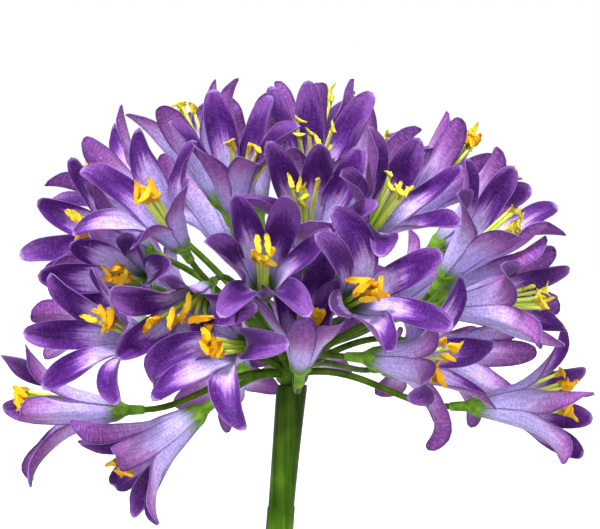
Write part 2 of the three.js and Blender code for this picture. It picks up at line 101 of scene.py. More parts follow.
def pick(piece, points):
    """In edit mode, selects just these points."""
    bpy.ops.mesh.select_mode(type="VERT")
    bpy.ops.mesh.select_all(action="DESELECT")
    mesh = bmesh.from_edit_mesh(piece.data)
    mesh.verts.ensure_lookup_table()
    for index in points:
        mesh.verts[index].select_set(True)
    mesh.select_flush(True)
    bmesh.update_edit_mesh(piece.data)


def edit(piece):
    alone(piece)
    bpy.ops.object.mode_set(mode="EDIT")


def done(outward=False):
    """Leaves edit mode, once all faces are turned outward if that is asked."""
    if outward:
        bpy.ops.mesh.select_all(action="SELECT")
        bpy.ops.mesh.normals_make_consistent(inside=False)
    bpy.ops.object.mode_set(mode="OBJECT")


def apply_modifier(piece, kind, **settings):
    alone(piece)
    modifier = piece.modifiers.new(kind.title(), kind)
    for name, value in settings.items():
        setattr(modifier, name, value)
    bpy.ops.object.modifier_apply(modifier=modifier.name)


def draw_up(rings, centre=None):
    """In edit mode, draws the selected ring up through the others, each a height and a radius in mm."""
    for (low, radius), (high, next_radius) in zip(rings, rings[1:]):
        aside = centre(high) - centre(low) if centre else 0
        grow = next_radius / radius
        bpy.ops.mesh.extrude_region_move(TRANSFORM_OT_translate={"value": (aside * MM, 0, (high - low) * MM)})
        bpy.ops.transform.resize(value=(grow, grow, 1))


def joined(pieces, name):
    """Joins pieces into one mesh, with its place in the mesh."""
    alone(pieces[0])
    for piece in pieces:
        piece.select_set(True)
    if len(pieces) > 1:
        bpy.ops.object.join()
    bpy.ops.object.transform_apply(location=True, rotation=True, scale=True)
    return named(name)


def points_of(piece):
    """All the points of a mesh as an array, one row each."""
    flat = np.zeros(3 * len(piece.data.vertices))
    piece.data.vertices.foreach_get("co", flat)
    return flat.reshape(-1, 3)


def copied(pattern, name, points):
    """A copy of a pattern with a mesh of its own, whose points are moved to the given places."""
    piece = pattern.copy()
    piece.data = pattern.data.copy()
    piece.name = piece.data.name = name
    bpy.context.scene.collection.objects.link(piece)
    piece.data.vertices.foreach_set("co", np.asarray(points, float).ravel())
    piece.data.update()
    return piece


def dressed(piece, material, slot, *nodes):
    """Gives a piece its material and its place on the body, and hides the CAD nodes it stands for; slot is
    not used.
    """
    piece.data.materials.clear()
    piece.data.materials.append(material)
    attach(piece, "root")
    if nodes:
        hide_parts(*nodes)
    return piece


def smooth(piece, degrees=40):
    alone(piece)
    bpy.ops.object.shade_smooth_by_angle(angle=math.radians(degrees))


# %% [markdown]
# ## Building a material
#
# A finish is a small network of nodes round one Principled shader. One function adds a node, sets its options
# and links or fills its sockets. Colours are written as the hex values that a paint chart would give, and
# turned to the linear light that the renderer mixes.

# %% Colours and nodes
MIX_FACTOR, MIX_A, MIX_B, MIX_RESULT = 0, 6, 7, 2  # a Mix node's sockets for colours


def linear(paint):
    """A #RRGGBB colour as linear red, green, blue and full alpha."""
    parts = [int(paint[i : i + 2], 16) / 255 for i in (1, 3, 5)]
    return [p / 12.92 if p <= 0.04045 else ((p + 0.055) / 1.055) ** 2.4 for p in parts] + [1]


def node(tree, kind, sockets=None, ramp=None, **settings):
    """Adds a node with its settings; a socket is given a value, or the output or node that feeds it."""
    made = tree.nodes.new(kind)
    for name, value in settings.items():
        setattr(made, name, value)
    for socket, value in (sockets or {}).items():
        if isinstance(value, bpy.types.Node):
            value = value.outputs[0]
        if isinstance(value, bpy.types.NodeSocket):
            tree.links.new(value, made.inputs[socket])
        else:
            made.inputs[socket].default_value = value
    for i, (place, paint) in enumerate(ramp or []):
        stops = made.color_ramp.elements
        stop = stops[i] if i < 2 else stops.new(place)
        stop.position = place
        stop.color = linear(paint)
    return made


def finish(name, **sockets):
    """A material with one Principled shader, whose plain values are set on its own sockets."""
    material = bpy.data.materials.new(name)
    material.use_nodes = True
    tree = material.node_tree
    shader = tree.nodes["Principled BSDF"]
    for socket, value in sockets.items():
        shader.inputs[socket.replace("_", " ")].default_value = value
    return material, tree, shader


# %% [markdown]
# ## Printed petal fabric
#
# The petals are polyester fabric, woven, printed and stiffened. The print runs from deep violet at the tip
# to a pale lilac-blue in the funnel and green at the very foot, and the outer face takes less ink, so it is
# a lighter mauve. Threads lie about 0.3 mm apart, and the slubs among them are what the eye sees as short
# dashes lengthwise and across. The pattern follows the cloth, so it reads the petal's own UV map: across it
# from 0 to 1, and along it from foot to tip.

# %% The petal's print and weave
PETAL_LENGTH, PETAL_WIDTH = 41, 9.8  # millimetres, as the UV map's full height and width
THREAD = 0.62  # millimetres between the drawn threads: twice the real spacing, so that they show
FLECK = 0.6  # millimetres, the size of the spots where threads took more or less ink

petal_cloth, tree, shader = finish(
    "printed_polyester_petal",
    Roughness=0.5,
    IOR=1.45,
    Specular_IOR_Level=0.16,
    Sheen_Weight=0.1,
    Sheen_Roughness=0.4,
    Sheen_Tint=linear("#C9A8F0"),
    Subsurface_Weight=0.08,
    Subsurface_Scale=0.0012,
)
uv = node(tree, "ShaderNodeUVMap", uv_map="UVMap")
place = node(tree, "ShaderNodeSeparateXYZ", {"Vector": uv.outputs["UV"]})
# dye_and_shade holds the face, this petal's own draw, and the floret's paleness, which is partly painted
# shade
dye_and_shade = node(tree, "ShaderNodeAttribute", attribute_name="dye_and_shade")
dye_and_shade_parts = node(tree, "ShaderNodeSeparateColor", {"Color": dye_and_shade.outputs["Color"]})
outer_face, own_draw, pale = dye_and_shade_parts.outputs
shifted = node(tree, "ShaderNodeCombineXYZ", {"X": own_draw, "Y": own_draw})
spread = node(
    tree, "ShaderNodeVectorMath", {0: shifted, 1: (170, 310, 0), 2: (0, 0, 0)}, operation="MULTIPLY_ADD"
)
cloth_mm = node(
    tree,
    "ShaderNodeVectorMath",
    {0: uv.outputs["UV"], 1: (PETAL_WIDTH, PETAL_LENGTH, 0), 2: spread},
    operation="MULTIPLY_ADD",
)

# %% Streaks where the print fades, and where each petal's fade begins
streak_map = node(tree, "ShaderNodeMapping", {"Vector": cloth_mm, "Scale": (1 / 1.1, 1 / 16, 1)})
streaks = node(tree, "ShaderNodeTexNoise", {"Vector": streak_map, "Scale": 1, "Detail": 3, "Roughness": 0.6})
centred = node(tree, "ShaderNodeMath", {0: streaks, 1: 0.34, 2: -0.17}, operation="MULTIPLY_ADD")
streaked = node(tree, "ShaderNodeMath", {0: place.outputs[1], 1: centred}, operation="ADD")
own_fade = node(tree, "ShaderNodeMath", {0: own_draw, 1: 0.3, 2: -0.065}, operation="MULTIPLY_ADD")
drawn = node(tree, "ShaderNodeMath", {0: streaked, 1: own_fade}, operation="ADD")
from_middle = node(tree, "ShaderNodeMath", {0: place, 1: 2.0, 2: -1.0}, operation="MULTIPLY_ADD")
to_edge = node(tree, "ShaderNodeMath", {0: from_middle}, operation="ABSOLUTE")
edge_squared = node(tree, "ShaderNodeMath", {0: to_edge, 1: 2.0}, operation="POWER")
tongue = node(tree, "ShaderNodeMath", {0: edge_squared, 1: 0.2, 2: drawn}, operation="MULTIPLY_ADD")
fade_and_shade = node(tree, "ShaderNodeMath", {0: pale, 1: -0.34, 2: tongue}, operation="MULTIPLY_ADD")
inner_print = node(
    tree,
    "ShaderNodeValToRGB",
    {"Fac": fade_and_shade},
    ramp=[
        (0.0, "#CCBEFF"), (1.0, "#7C4A9C"), (0.3, "#CDBCFF"), (0.42, "#CFB8FA"), (0.51, "#B48AD6"),
        (0.6, "#66328F"), (0.72, "#431468"), (0.87, "#512074"),
    ],
)
outer_print = node(
    tree,
    "ShaderNodeValToRGB",
    {"Fac": fade_and_shade},
    ramp=[
        (0.0, "#CCBEFF"), (1.0, "#7E489A"), (0.3, "#CDBCFF"), (0.46, "#D0B6F6"), (0.6, "#BA8ACE"),
        (0.74, "#9C5EAC"), (0.88, "#8A4C9C"),
    ],
)
ink = node(
    tree, "ShaderNodeMix", {MIX_FACTOR: outer_face, MIX_A: inner_print, MIX_B: outer_print}, data_type="RGBA"
)

# %% [markdown]
# The slubs of the weave are noise pulled long and thin, once along the petal and once across it, and flecks
# are spots that took more or less ink. Fine pleats run lengthwise. Floats, the pale threads that pass over
# several others, show most on the outer face. The heat-cut edge is dark. Its very rim is a painted
# highlight on the inner face, pale as a cut edge catching light, and dark on the outer face.

# %% Slubs, pleats and the cut edge
slub_noises = []
for stretch in ((1 / THREAD, 1 / 3.2, 1), (1 / 2.4, 1 / THREAD, 1)):  # along the petal, then across it
    slub_map = node(tree, "ShaderNodeMapping", {"Vector": cloth_mm, "Scale": stretch})
    slub_noises.append(node(tree, "ShaderNodeTexNoise", {"Vector": slub_map, "Scale": 1, "Detail": 1.5}))
slubs = node(tree, "ShaderNodeMath", {0: slub_noises[0], 1: slub_noises[1]}, operation="ADD")
weave = node(
    tree,
    "ShaderNodeMapRange",
    {"Value": slubs, "From Min": 0.8, "From Max": 1.2, "To Min": 0.78, "To Max": 1.16},
)
pleat_map = node(tree, "ShaderNodeMapping", {"Vector": cloth_mm, "Scale": (1 / 0.9, 1 / 40, 1)})
pleats = node(tree, "ShaderNodeTexNoise", {"Vector": pleat_map, "Scale": 1, "Detail": 2})
pleat_shade = node(
    tree,
    "ShaderNodeMapRange",
    {"Value": pleats, "From Min": 0.36, "From Max": 0.6, "To Min": 0.86, "To Max": 1.06},
)
fleck_noise = node(
    tree, "ShaderNodeTexNoise", {"Vector": cloth_mm, "Scale": 1 / FLECK, "Detail": 2, "Roughness": 0.7}
)
flecks = node(
    tree,
    "ShaderNodeMapRange",
    {"Value": fleck_noise, "From Min": 0.34, "From Max": 0.66, "To Min": 0.76, "To Max": 1.22},
)
slubbed = node(tree, "ShaderNodeMath", {0: weave, 1: flecks}, operation="MULTIPLY")
threads = node(tree, "ShaderNodeMath", {0: slubbed, 1: pleat_shade}, operation="MULTIPLY")
woven = node(tree, "ShaderNodeVectorMath", {0: ink.outputs[MIX_RESULT], "Scale": threads}, operation="SCALE")
float_map = node(
    tree, "ShaderNodeMapping", {"Vector": cloth_mm, "Scale": (1 / 2.2, 1 / 0.45, 1), "Rotation": (0, 0, 0.12)}
)
float_noise = node(tree, "ShaderNodeTexNoise", {"Vector": float_map, "Scale": 1, "Detail": 1})
float_face = node(tree, "ShaderNodeMath", {0: outer_face, 1: 0.2, 2: 0.05}, operation="MULTIPLY_ADD")
floats = node(
    tree,
    "ShaderNodeMapRange",
    {"Value": float_noise, "From Min": 0.54, "From Max": 0.66, "To Min": 0.0, "To Max": float_face},
)
threaded = node(
    tree, "ShaderNodeMix", {MIX_FACTOR: floats, MIX_A: woven, MIX_B: linear("#D2AEEA")}, data_type="RGBA"
)
edge = node(
    tree,
    "ShaderNodeMapRange",
    {"Value": to_edge, "From Min": 0.84, "From Max": 0.97, "To Min": 0.0, "To Max": 0.5},
)
sealed = node(
    tree,
    "ShaderNodeMix",
    {MIX_FACTOR: edge, MIX_A: threaded.outputs[MIX_RESULT], MIX_B: linear("#4A2470")},
    data_type="RGBA",
)
outline = node(tree, "ShaderNodeMath", {0: to_edge, 1: place.outputs[1]}, operation="MAXIMUM")
rim_line = node(
    tree,
    "ShaderNodeMapRange",
    {"Value": outline, "From Min": 0.965, "From Max": 0.99, "To Min": 0.0, "To Max": 0.65},
)
# the very rim: a painted highlight on the inner face, where a cut edge catches light, and dark on the outer
# face
rim = node(
    tree,
    "ShaderNodeMix",
    {MIX_FACTOR: outer_face, MIX_A: linear("#B090D2"), MIX_B: linear("#481E62")},
    data_type="RGBA",
)
edge_and_rim_highlight = node(
    tree,
    "ShaderNodeMix",
    {MIX_FACTOR: rim_line, MIX_A: sealed.outputs[MIX_RESULT], MIX_B: rim.outputs[MIX_RESULT]},
    data_type="RGBA",
)
foot_streaks = node(
    tree, "ShaderNodeMath", {0: pleats, 1: -0.2, 2: place.outputs[1]}, operation="MULTIPLY_ADD"
)
foot_green = node(
    tree,
    "ShaderNodeMapRange",
    {"Value": foot_streaks, "From Min": -0.06, "From Max": 0.08, "To Min": 0.9, "To Max": 0.0},
)
inked = node(
    tree,
    "ShaderNodeMix",
    {MIX_FACTOR: foot_green, MIX_A: edge_and_rim_highlight.outputs[MIX_RESULT], MIX_B: linear("#5C8428")},
    data_type="RGBA",
)
tree.links.new(inked.outputs[MIX_RESULT], shader.inputs["Base Color"])
relief = node(tree, "ShaderNodeBump", {"Height": threads, "Strength": 0.5, "Distance": 0.2 * MM})
tree.links.new(relief.outputs[0], shader.inputs["Normal"])
print("material:", petal_cloth.name, "with", len(tree.nodes), "nodes")

# %% [markdown]
# ## Moulded greens and yellow
#
# Pedicels, calyxes, filaments and anthers are one moulding of soft polyethylene, which has a waxy satin skin.
# The mould's parts are tinted differently: olive stalks, a fresh green calyx, filaments that go from green to
# pale yellow-green, and orange-yellow anthers.

# %% Soft moulded plastics
def moulded(name, low, high, spot_mm, roughness=0.42, bump=0.15, glow=0.08):
    """Soft plastic whose tint drifts between two colours over spots of a size in millimetres."""
    material, tree, shader = finish(
        name,
        Roughness=roughness,
        IOR=1.5,
        Specular_IOR_Level=0.15,
        Subsurface_Weight=glow,
        Subsurface_Scale=0.0012,
    )
    here = node(tree, "ShaderNodeTexCoord")
    drift = node(
        tree,
        "ShaderNodeTexNoise",
        {"Vector": here.outputs["Object"], "Scale": 1 / (spot_mm * MM), "Detail": 3},
    )
    tint = node(tree, "ShaderNodeValToRGB", {"Fac": drift}, ramp=[(0.3, low), (0.7, high)])
    grain = node(
        tree, "ShaderNodeTexNoise", {"Vector": here.outputs["Object"], "Scale": 1 / (0.5 * MM), "Detail": 2}
    )
    skin = node(tree, "ShaderNodeBump", {"Height": grain, "Strength": bump, "Distance": 0.1 * MM})
    tree.links.new(tint.outputs[0], shader.inputs["Base Color"])
    tree.links.new(skin.outputs[0], shader.inputs["Normal"])
    return material, tree, shader, tint


pedicel_plastic, *_ = moulded("olive_polyethylene_stalk", "#2E4806", "#5C7C16", 5, roughness=0.34)
calyx_plastic, *_ = moulded("green_polyethylene_calyx", "#4C7C12", "#8EBA3C", 3)
print("materials: stalk and calyx plastics")

# %% Anthers are painted, orange-yellow where they are ripe and yellow-green where they are young
anther_plastic, tree, shader, ripe_tint = moulded(
    "painted_yellow_anther", "#DA980C", "#FACC2A", 1.6, roughness=0.6, bump=0.5, glow=0.3
)
youth = node(tree, "ShaderNodeAttribute", attribute_name="young")
young_tint = node(
    tree,
    "ShaderNodeValToRGB",
    {"Fac": youth.outputs["Fac"]},
    ramp=[(0.0, "#EEAA12"), (1.0, "#C2D04C"), (0.5, "#DCC838")],
)
anther_mix = node(
    tree, "ShaderNodeMix", {MIX_FACTOR: 0.75, MIX_A: ripe_tint, MIX_B: young_tint}, data_type="RGBA"
)
tree.links.new(anther_mix.outputs[MIX_RESULT], shader.inputs["Base Color"])
print("material:", anther_plastic.name)

# %% Filaments go from green at the foot to pale yellow-green at the tip
filament_plastic, tree, shader, drift_tint = moulded(
    "pale_polyethylene_filament", "#B2E030", "#E4FA60", 3, glow=0.3
)
foot_to_tip = node(tree, "ShaderNodeAttribute", attribute_name="rise")
filament_tint = node(
    tree,
    "ShaderNodeValToRGB",
    {"Fac": foot_to_tip.outputs["Fac"]},
    ramp=[(0.0, "#7CC418"), (1.0, "#EAFA88"), (0.3, "#B6E838"), (0.6, "#DAF858")],
)
filament_mix = node(
    tree, "ShaderNodeMix", {MIX_FACTOR: 0.7, MIX_A: drift_tint, MIX_B: filament_tint}, data_type="RGBA"
)
tree.links.new(filament_mix.outputs[MIX_RESULT], shader.inputs["Base Color"])
print("material:", filament_plastic.name)

# %% [markdown]
# ## Where each floret is
#
# The CAD blooms already hold every petal's place, bent clear of its neighbours. Each bloom is one shell: two
# rings of the funnel, and for each petal two cross-sections of four points and a tip. A tip is the only kind
# of point with exactly four neighbours, so walking from each tip back down finds that petal's sections, and
# what is left over is the funnel. The walk runs on a merged copy, since the CAD mesh is loose triangles.

# %% Read the petals' lines from the CAD blooms
def neighbours_of(name):
    """The merged points of a CAD node, and the set of neighbours of each."""
    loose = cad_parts[name]
    copy = copied(loose, name + "_reading", points_of(loose))
    edit(copy)
    bpy.ops.mesh.select_all(action="SELECT")
    bpy.ops.mesh.remove_doubles(threshold=0.01 * MM)
    done()
    points = points_of(copy)
    near = [set() for _ in points]
    for line in copy.data.edges:
        a, b = line.vertices
        near[a].add(b)
        near[b].add(a)
    bpy.data.objects.remove(copy)
    return points, near


def unit(vector):
    return vector / np.linalg.norm(vector)


def section_of(points, ring):
    """The middle of a four-point cross-section, and the way from one edge to the other."""
    pairs = [(a, b) for a in ring for b in ring if a < b]
    left, right = max(pairs, key=lambda pair: np.linalg.norm(points[pair[0]] - points[pair[1]]))
    faces = [p for p in ring if p not in (left, right)]
    return points[faces].mean(0), unit(points[right] - points[left])


def read_floret(name):
    points, near = neighbours_of(name)
    tips = [i for i, around in enumerate(near) if len(around) == 4]
    petals = []
    blades = set()
    for tip in tips:
        outer = near[tip]
        inner = set().union(*(near[p] for p in outer)) - outer - {tip}
        blades |= {tip} | outer | inner
        petals.append({"tip": points[tip], "outer": outer, "inner": inner})
    mouth = set().union(*(near[p] for petal in petals for p in petal["inner"])) - blades
    throat = set(range(len(points))) - blades - mouth
    seat = points[sorted(throat)].mean(0)
    aim = unit(points[sorted(mouth)].mean(0) - seat)
    for petal in petals:
        base = set().union(*(near[p] for p in petal["inner"])) & mouth
        middle = points[sorted(base)].mean(0)
        out = middle - seat
        petal["radial"] = unit(out - aim * out.dot(aim))
        petal["mouth"] = middle
        petal["sections"] = [section_of(points, sorted(petal[ring])) for ring in ("inner", "outer")]
    return {"name": name, "seat": seat, "aim": aim, "petals": petals}


florets = [read_floret(name) for name in bloom_names]
print("florets read:", len(florets), "with", sum(len(f["petals"]) for f in florets), "petals")

# %% [markdown]
# ## The pattern petal
#
# A petal is stamped flat and then heat-set, so it starts as a flat grid, ten millimetres wide at most. Each
# row of the grid is moved and narrowed to the outline: a narrow foot, full width past the middle and a round
# tip. The rows lie closer together towards the tip, where the outline turns fastest.

# %% One flat petal
COLUMNS, ROWS = 8, 16
FOOT_HALF, FULL_HALF = 2.0, PETAL_WIDTH / 2
WIDEST = 0.68  # share of the length where the outline starts to close
ROW_CROWDING = 1.55  # how much closer the rows lie towards the tip


def petal_half_width(share):
    grown = FOOT_HALF + (FULL_HALF - FOOT_HALF) * np.sin(math.pi / 2 * np.minimum(1, share / 0.62))
    closing = np.clip((share - WIDEST) / (1.004 - WIDEST), 0, 1)
    return grown * np.sqrt(1 - closing**2.1)


bpy.ops.object.select_all(action="DESELECT")
bpy.ops.mesh.primitive_grid_add(x_subdivisions=COLUMNS, y_subdivisions=ROWS, size=PETAL_WIDTH * MM)
petal_pattern = named("petal_pattern")
petal_rows = rows_of(petal_pattern, 1)
edit(petal_pattern)
for number, row in enumerate(petal_rows):
    share = 1 - (1 - number / ROWS) ** ROW_CROWDING
    flat_place = (number / ROWS - 0.5) * PETAL_WIDTH
    pick(petal_pattern, row)
    bpy.ops.transform.resize(value=(float(petal_half_width(share)) / FULL_HALF, 1, 1))
    bpy.ops.transform.translate(value=(0, (share * PETAL_LENGTH - flat_place) * MM, 0))
done()
petal_uv = petal_pattern.data.uv_layers["UVMap"].data
for corner in petal_pattern.data.loops:
    place_along = petal_pattern.data.vertices[corner.vertex_index].co.y
    petal_uv[corner.index].uv.y = place_along / (PETAL_LENGTH * MM)
print("pattern petal:", len(petal_rows), "rows,", len(petal_pattern.data.polygons), "faces")

# %% [markdown]
# The tip's last row is bowed back at its corners so that the outline ends round. The middle column is pushed
# out a little to make the fold that every petal has, and Solidify gives the cloth its thickness.

# %% Round the tip, fold the middle and thicken the cloth
CLOTH = 0.34  # millimetres
ordered_rows = [sorted(row, key=lambda i: petal_pattern.data.vertices[i].co.x) for row in petal_rows]
last_row = ordered_rows[-1]
middles = [row[COLUMNS // 2] for row in ordered_rows]
edit(petal_pattern)
for column, point in enumerate(last_row):
    off_middle = abs(column / COLUMNS * 2 - 1)
    pick(petal_pattern, [point])
    bpy.ops.transform.translate(value=(0, -0.3 * MM * off_middle**2, 0))
pick(petal_pattern, middles)
bpy.ops.transform.translate(value=(0, 0, 0.22 * MM))
done()
apply_modifier(petal_pattern, "SOLIDIFY", thickness=CLOTH * MM, offset=0, use_even_offset=False)
smooth(petal_pattern, 60)
petal_flat = points_of(petal_pattern) / MM
petal_normals = np.array([point.normal[:] for point in petal_pattern.data.vertices])
print("pattern petal:", len(petal_pattern.data.polygons), "faces, cloth", CLOTH, "mm thick")

# %% [markdown]
# ## Heat-setting the petals
#
# A curve modifier could bend the pattern, but it can't wrap its foot round the funnel, so each point is
# moved by rule instead. A smooth line runs from the throat through the CAD petal's sections to its tip. The
# flat petal is laid along it, turned with its sections, curved round the funnel at its foot and cupped
# further out. Every petal also gets a little fold and a wave along its edges, which fade where it narrows,
# and a curled tip of its own.

# %% A smooth line through stations
def smooth_line(stations, places, slopes, at):
    """Points on a line that passes each place with its slope (a cubic between neighbours)."""
    i = np.clip(np.searchsorted(stations, at, side="right") - 1, 0, len(stations) - 2)
    span = (stations[i + 1] - stations[i])[:, None]
    h = (at - stations[i])[:, None] / span
    start, end = places[i], places[i + 1]
    leave, arrive = slopes[i] * span, slopes[i + 1] * span
    return (
        (2 * h**3 - 3 * h**2 + 1) * start
        + (h**3 - 2 * h**2 + h) * leave
        + (3 * h**2 - 2 * h**3) * end
        + (h**3 - h**2) * arrive
    )


def slopes_through(stations, places, first):
    """A slope for each place: the given one for the first two, then the mean of both sides."""
    steps = np.diff(places, axis=0) / np.diff(stations)[:, None]
    slopes = [first, first]
    for i in range(2, len(places) - 1):
        before, after = stations[i] - stations[i - 1], stations[i + 1] - stations[i]
        slopes.append((steps[i - 1] * after + steps[i] * before) / (before + after))
    slopes.append(2 * steps[-1] - slopes[-1])
    return np.array(slopes)


def rows_unit(vectors):
    return vectors / np.linalg.norm(vectors, axis=1)[:, None]


# %% Lay a flat petal along its line
THROAT_RADIUS, MOUTH_RADIUS = 3.3, 7.5  # millimetres, the funnel's as in the CAD


def set_petal(floret, petal, outer_whorl, draw):
    """The pattern's points, heat-set to one petal of a floret."""
    seat, aim, radial = floret["seat"] / MM, floret["aim"], petal["radial"]
    places = [seat + radial * (THROAT_RADIUS - 0.3), petal["mouth"] / MM]
    side = np.cross(aim, radial)
    turns = [side, side]
    for middle, across in petal["sections"]:
        places.append(middle / MM)
        turns.append(across if across.dot(side) > 0 else -across)
    places.append(petal["tip"] / MM)
    turns.append(unit(1.4 * turns[3] - 0.4 * turns[2]))
    places, turns = np.array(places), np.array(turns)
    lengths = np.linalg.norm(np.diff(places, axis=0), axis=1)
    stations = np.concatenate([[0], np.cumsum(lengths)])
    total = stations[-1]
    slopes = slopes_through(stations, places, (places[1] - places[0]) / lengths[0])
    turn_slopes = slopes_through(stations, turns, np.zeros(3))

    share = np.clip(petal_flat[:, 1] / PETAL_LENGTH, 0, 1)
    at = share * total
    centre = smooth_line(stations, places, slopes, at)
    ahead = smooth_line(stations, places, slopes, np.minimum(at + 0.05, total))
    behind = smooth_line(stations, places, slopes, np.maximum(at - 0.05, 0))
    tangent = rows_unit(ahead - behind)
    across = smooth_line(stations, turns, turn_slopes, at)
    across = rows_unit(across - tangent * (across * tangent).sum(1)[:, None])
    outward = np.cross(across, tangent)

    x, lift = petal_flat[:, 0], petal_flat[:, 2]
    edge_share = x / petal_half_width(share)
    funnel_radius = THROAT_RADIUS + (MOUTH_RADIUS - THROAT_RADIUS) * np.minimum(1, at / stations[1])
    wrapped = 1 - np.clip((at - stations[1]) / (0.3 * total), 0, 1)
    wrapped = wrapped * wrapped * (3 - 2 * wrapped)
    free = 1 - wrapped
    cup = np.interp(share, [0, 0.3, 0.6, 0.88, 1], [1.1, 1.2, 1.3, 0.9, 0.2]) * draw.uniform(0.8, 2.8)
    fold = draw.choice([0, 0.3, 0.9, 2.0]) * np.abs(edge_share)
    wave = draw.uniform(0.3, 1.7) * np.sin(draw.uniform(5, 9) * share + draw.uniform(0, 6.3)) * edge_share
    wave = wave * np.abs(edge_share)
    tilt = draw.uniform(-0.9, 0.9) * edge_share * np.abs(edge_share)
    narrowing = np.minimum(1, 1.15 * petal_half_width(share) / FULL_HALF)
    drop_free = narrowing * (cup * edge_share**2 + fold + wave + tilt)
    drop_wrapped = funnel_radius * (1 - np.cos(x / funnel_radius))
    drop = free * drop_free + wrapped * drop_wrapped
    reach = free * x + wrapped * funnel_radius * np.sin(x / funnel_radius)
    curl = draw.uniform(-2.6, 2.6) * np.clip((share - 0.7) / 0.3, 0, 1) ** 2
    whorl = (0.28 if outer_whorl else -0.12) * (1 - 0.6 * free)
    off = lift - drop + whorl + curl
    return (centre + across * reach[:, None] + outward * off[:, None]) * MM


# %% [markdown]
# ## The florets' fabric
#
# Six petals are joined into one piece for each CAD bloom, which it replaces. They overlap in the funnel like
# the real whorls: three outside and three inside. A colour attribute, dye_and_shade, tells the print which
# face a point is on, how this petal was drawn, and how pale its floret is: how it came out of the printing,
# and for the deep florets in the middle of the head also painted shade.

# %% Dress every bloom
# How pale each floret is, by its number: 0 is the average, and less is deeper. The deep values of
# the florets in the middle of the head are partly painted shade.
PALE = {
    1: 0.1, 2: 0.05, 3: 0.1, 4: 0.0, 6: 0.0, 8: -0.15, 9: -0.3, 10: -0.2, 12: -0.2, 13: 0.15, 14: 0.1,
    15: 0.1, 16: 0.1, 17: 0.3, 19: 0.15, 20: 0.1, 21: -0.1, 22: -0.3, 23: -0.4, 24: -0.35, 25: -0.45,
    27: -0.15, 28: -0.1, 29: -0.4, 31: -0.4,
}
AVERAGE_PALE = 0.5  # what an average floret has in the third channel of dye_and_shade
face_share = (petal_normals[:, 2] > 0).astype(float)
draw = random.Random(20)
petal_total = 0
for number, floret in enumerate(florets, 1):
    seat, aim = floret["seat"], floret["aim"]
    start = floret["petals"][0]["radial"]
    square = np.cross(aim, start)
    ring = sorted(floret["petals"], key=lambda p: math.atan2(p["radial"] @ square, p["radial"] @ start))
    pale = PALE.get(number, draw.uniform(-0.15, 0.15))
    petals = []
    for k, petal in enumerate(ring):
        piece = copied(petal_pattern, f"petal_{number}_{k}", set_petal(floret, petal, k % 2 == 0, draw))
        stain = piece.data.color_attributes.new("dye_and_shade", "FLOAT_COLOR", "POINT")
        colours = np.ones((len(face_share), 4))
        colours[:, 0] = face_share
        colours[:, 1] = draw.random()
        colours[:, 2] = pale + AVERAGE_PALE + draw.uniform(-0.04, 0.04)
        stain.data.foreach_set("color", colours.ravel())
        petals.append(piece)
    bloom = dressed(joined(petals, f"petals_{number:02d}"), petal_cloth, "petals", floret["name"])
    petal_total += len(bloom.data.polygons)
print("petals:", 6 * len(florets), "in", len(florets), "pieces,", petal_total, "faces")

# %% [markdown]
# ## The green spray
#
# A calyx is a short moulded tube that opens into a cup with six pointed lobes, which hold the petals' foot.
# It is drawn up from a circle, ring by ring, as on a lathe. The last ring is set in and out of step for the
# lobes, and Solidify gives it a wall.

# %% One calyx, standing on the origin as its floret's seat
CALYX_LENGTH, CALYX_FOOT_RADIUS = 9, 1.2  # millimetres
CALYX_RINGS = [  # height above the seat and radius, in millimetres
    (-8.4, 1.55),
    (-5.5, 1.72),
    (-3.4, 1.85),
    (-2.2, 2.3),
    (-1.0, 3.1),
    (0.2, 3.75),
    (1.6, 4.15),
]
LOBES = 6

bpy.ops.object.select_all(action="DESELECT")
bpy.ops.mesh.primitive_circle_add(
    vertices=4 * LOBES, radius=CALYX_FOOT_RADIUS * MM, location=(0, 0, -CALYX_LENGTH * MM)
)
calyx_pattern = named("calyx_pattern")
bpy.ops.object.transform_apply(location=True, rotation=True, scale=True)
edit(calyx_pattern)
bpy.ops.mesh.select_all(action="SELECT")
draw_up([(-CALYX_LENGTH, CALYX_FOOT_RADIUS)] + CALYX_RINGS)
done()
rim = rows_of(calyx_pattern, 2)[-1]
rim_places = {i: calyx_pattern.data.vertices[i].co for i in rim}
turn_of = {i: math.atan2(place.y, place.x) for i, place in rim_places.items()}
edit(calyx_pattern)
for point in rim:
    wave = math.cos(LOBES * turn_of[point])
    pick(calyx_pattern, [point])
    bpy.ops.transform.translate(value=(0, 0, (1.7 * wave + 0.5) * MM))
    bpy.ops.transform.resize(value=(1 + 0.06 * wave, 1 + 0.06 * wave, 1), center_override=(0, 0, 0))
done(outward=True)
apply_modifier(calyx_pattern, "SOLIDIFY", thickness=0.4 * MM, offset=-1)
smooth(calyx_pattern, 50)
calyx_flat = points_of(calyx_pattern)
print("calyx:", len(calyx_pattern.data.polygons), "faces")

# %% [markdown]
# Each calyx is copied to its seat and turned to its floret's aim, and each pedicel is a Bezier curve from the
# knob on the stem to the calyx's foot, with the CAD's own handles, given a round section and made a mesh.

# %% Calyxes at every seat
def frame_on(aim):
    """Two directions square to an aim, and the aim, as the rows of an array."""
    helper = np.array([0, 1, 0]) if abs(aim[2]) > 0.9 else np.array([0, 0, 1])
    side = unit(np.cross(helper, aim))
    return np.array([side, np.cross(aim, side), aim])


calyxes = []
for number, floret in enumerate(florets, 1):
    turned = calyx_flat @ frame_on(floret["aim"])
    calyxes.append(copied(calyx_pattern, f"calyx_{number}", turned + floret["seat"]))
calyx_ring = dressed(joined(calyxes, "calyxes"), calyx_plastic, "spray_green", "pedicel_spray")
print("calyxes:", len(calyxes), "copies,", len(calyx_ring.data.polygons), "faces")

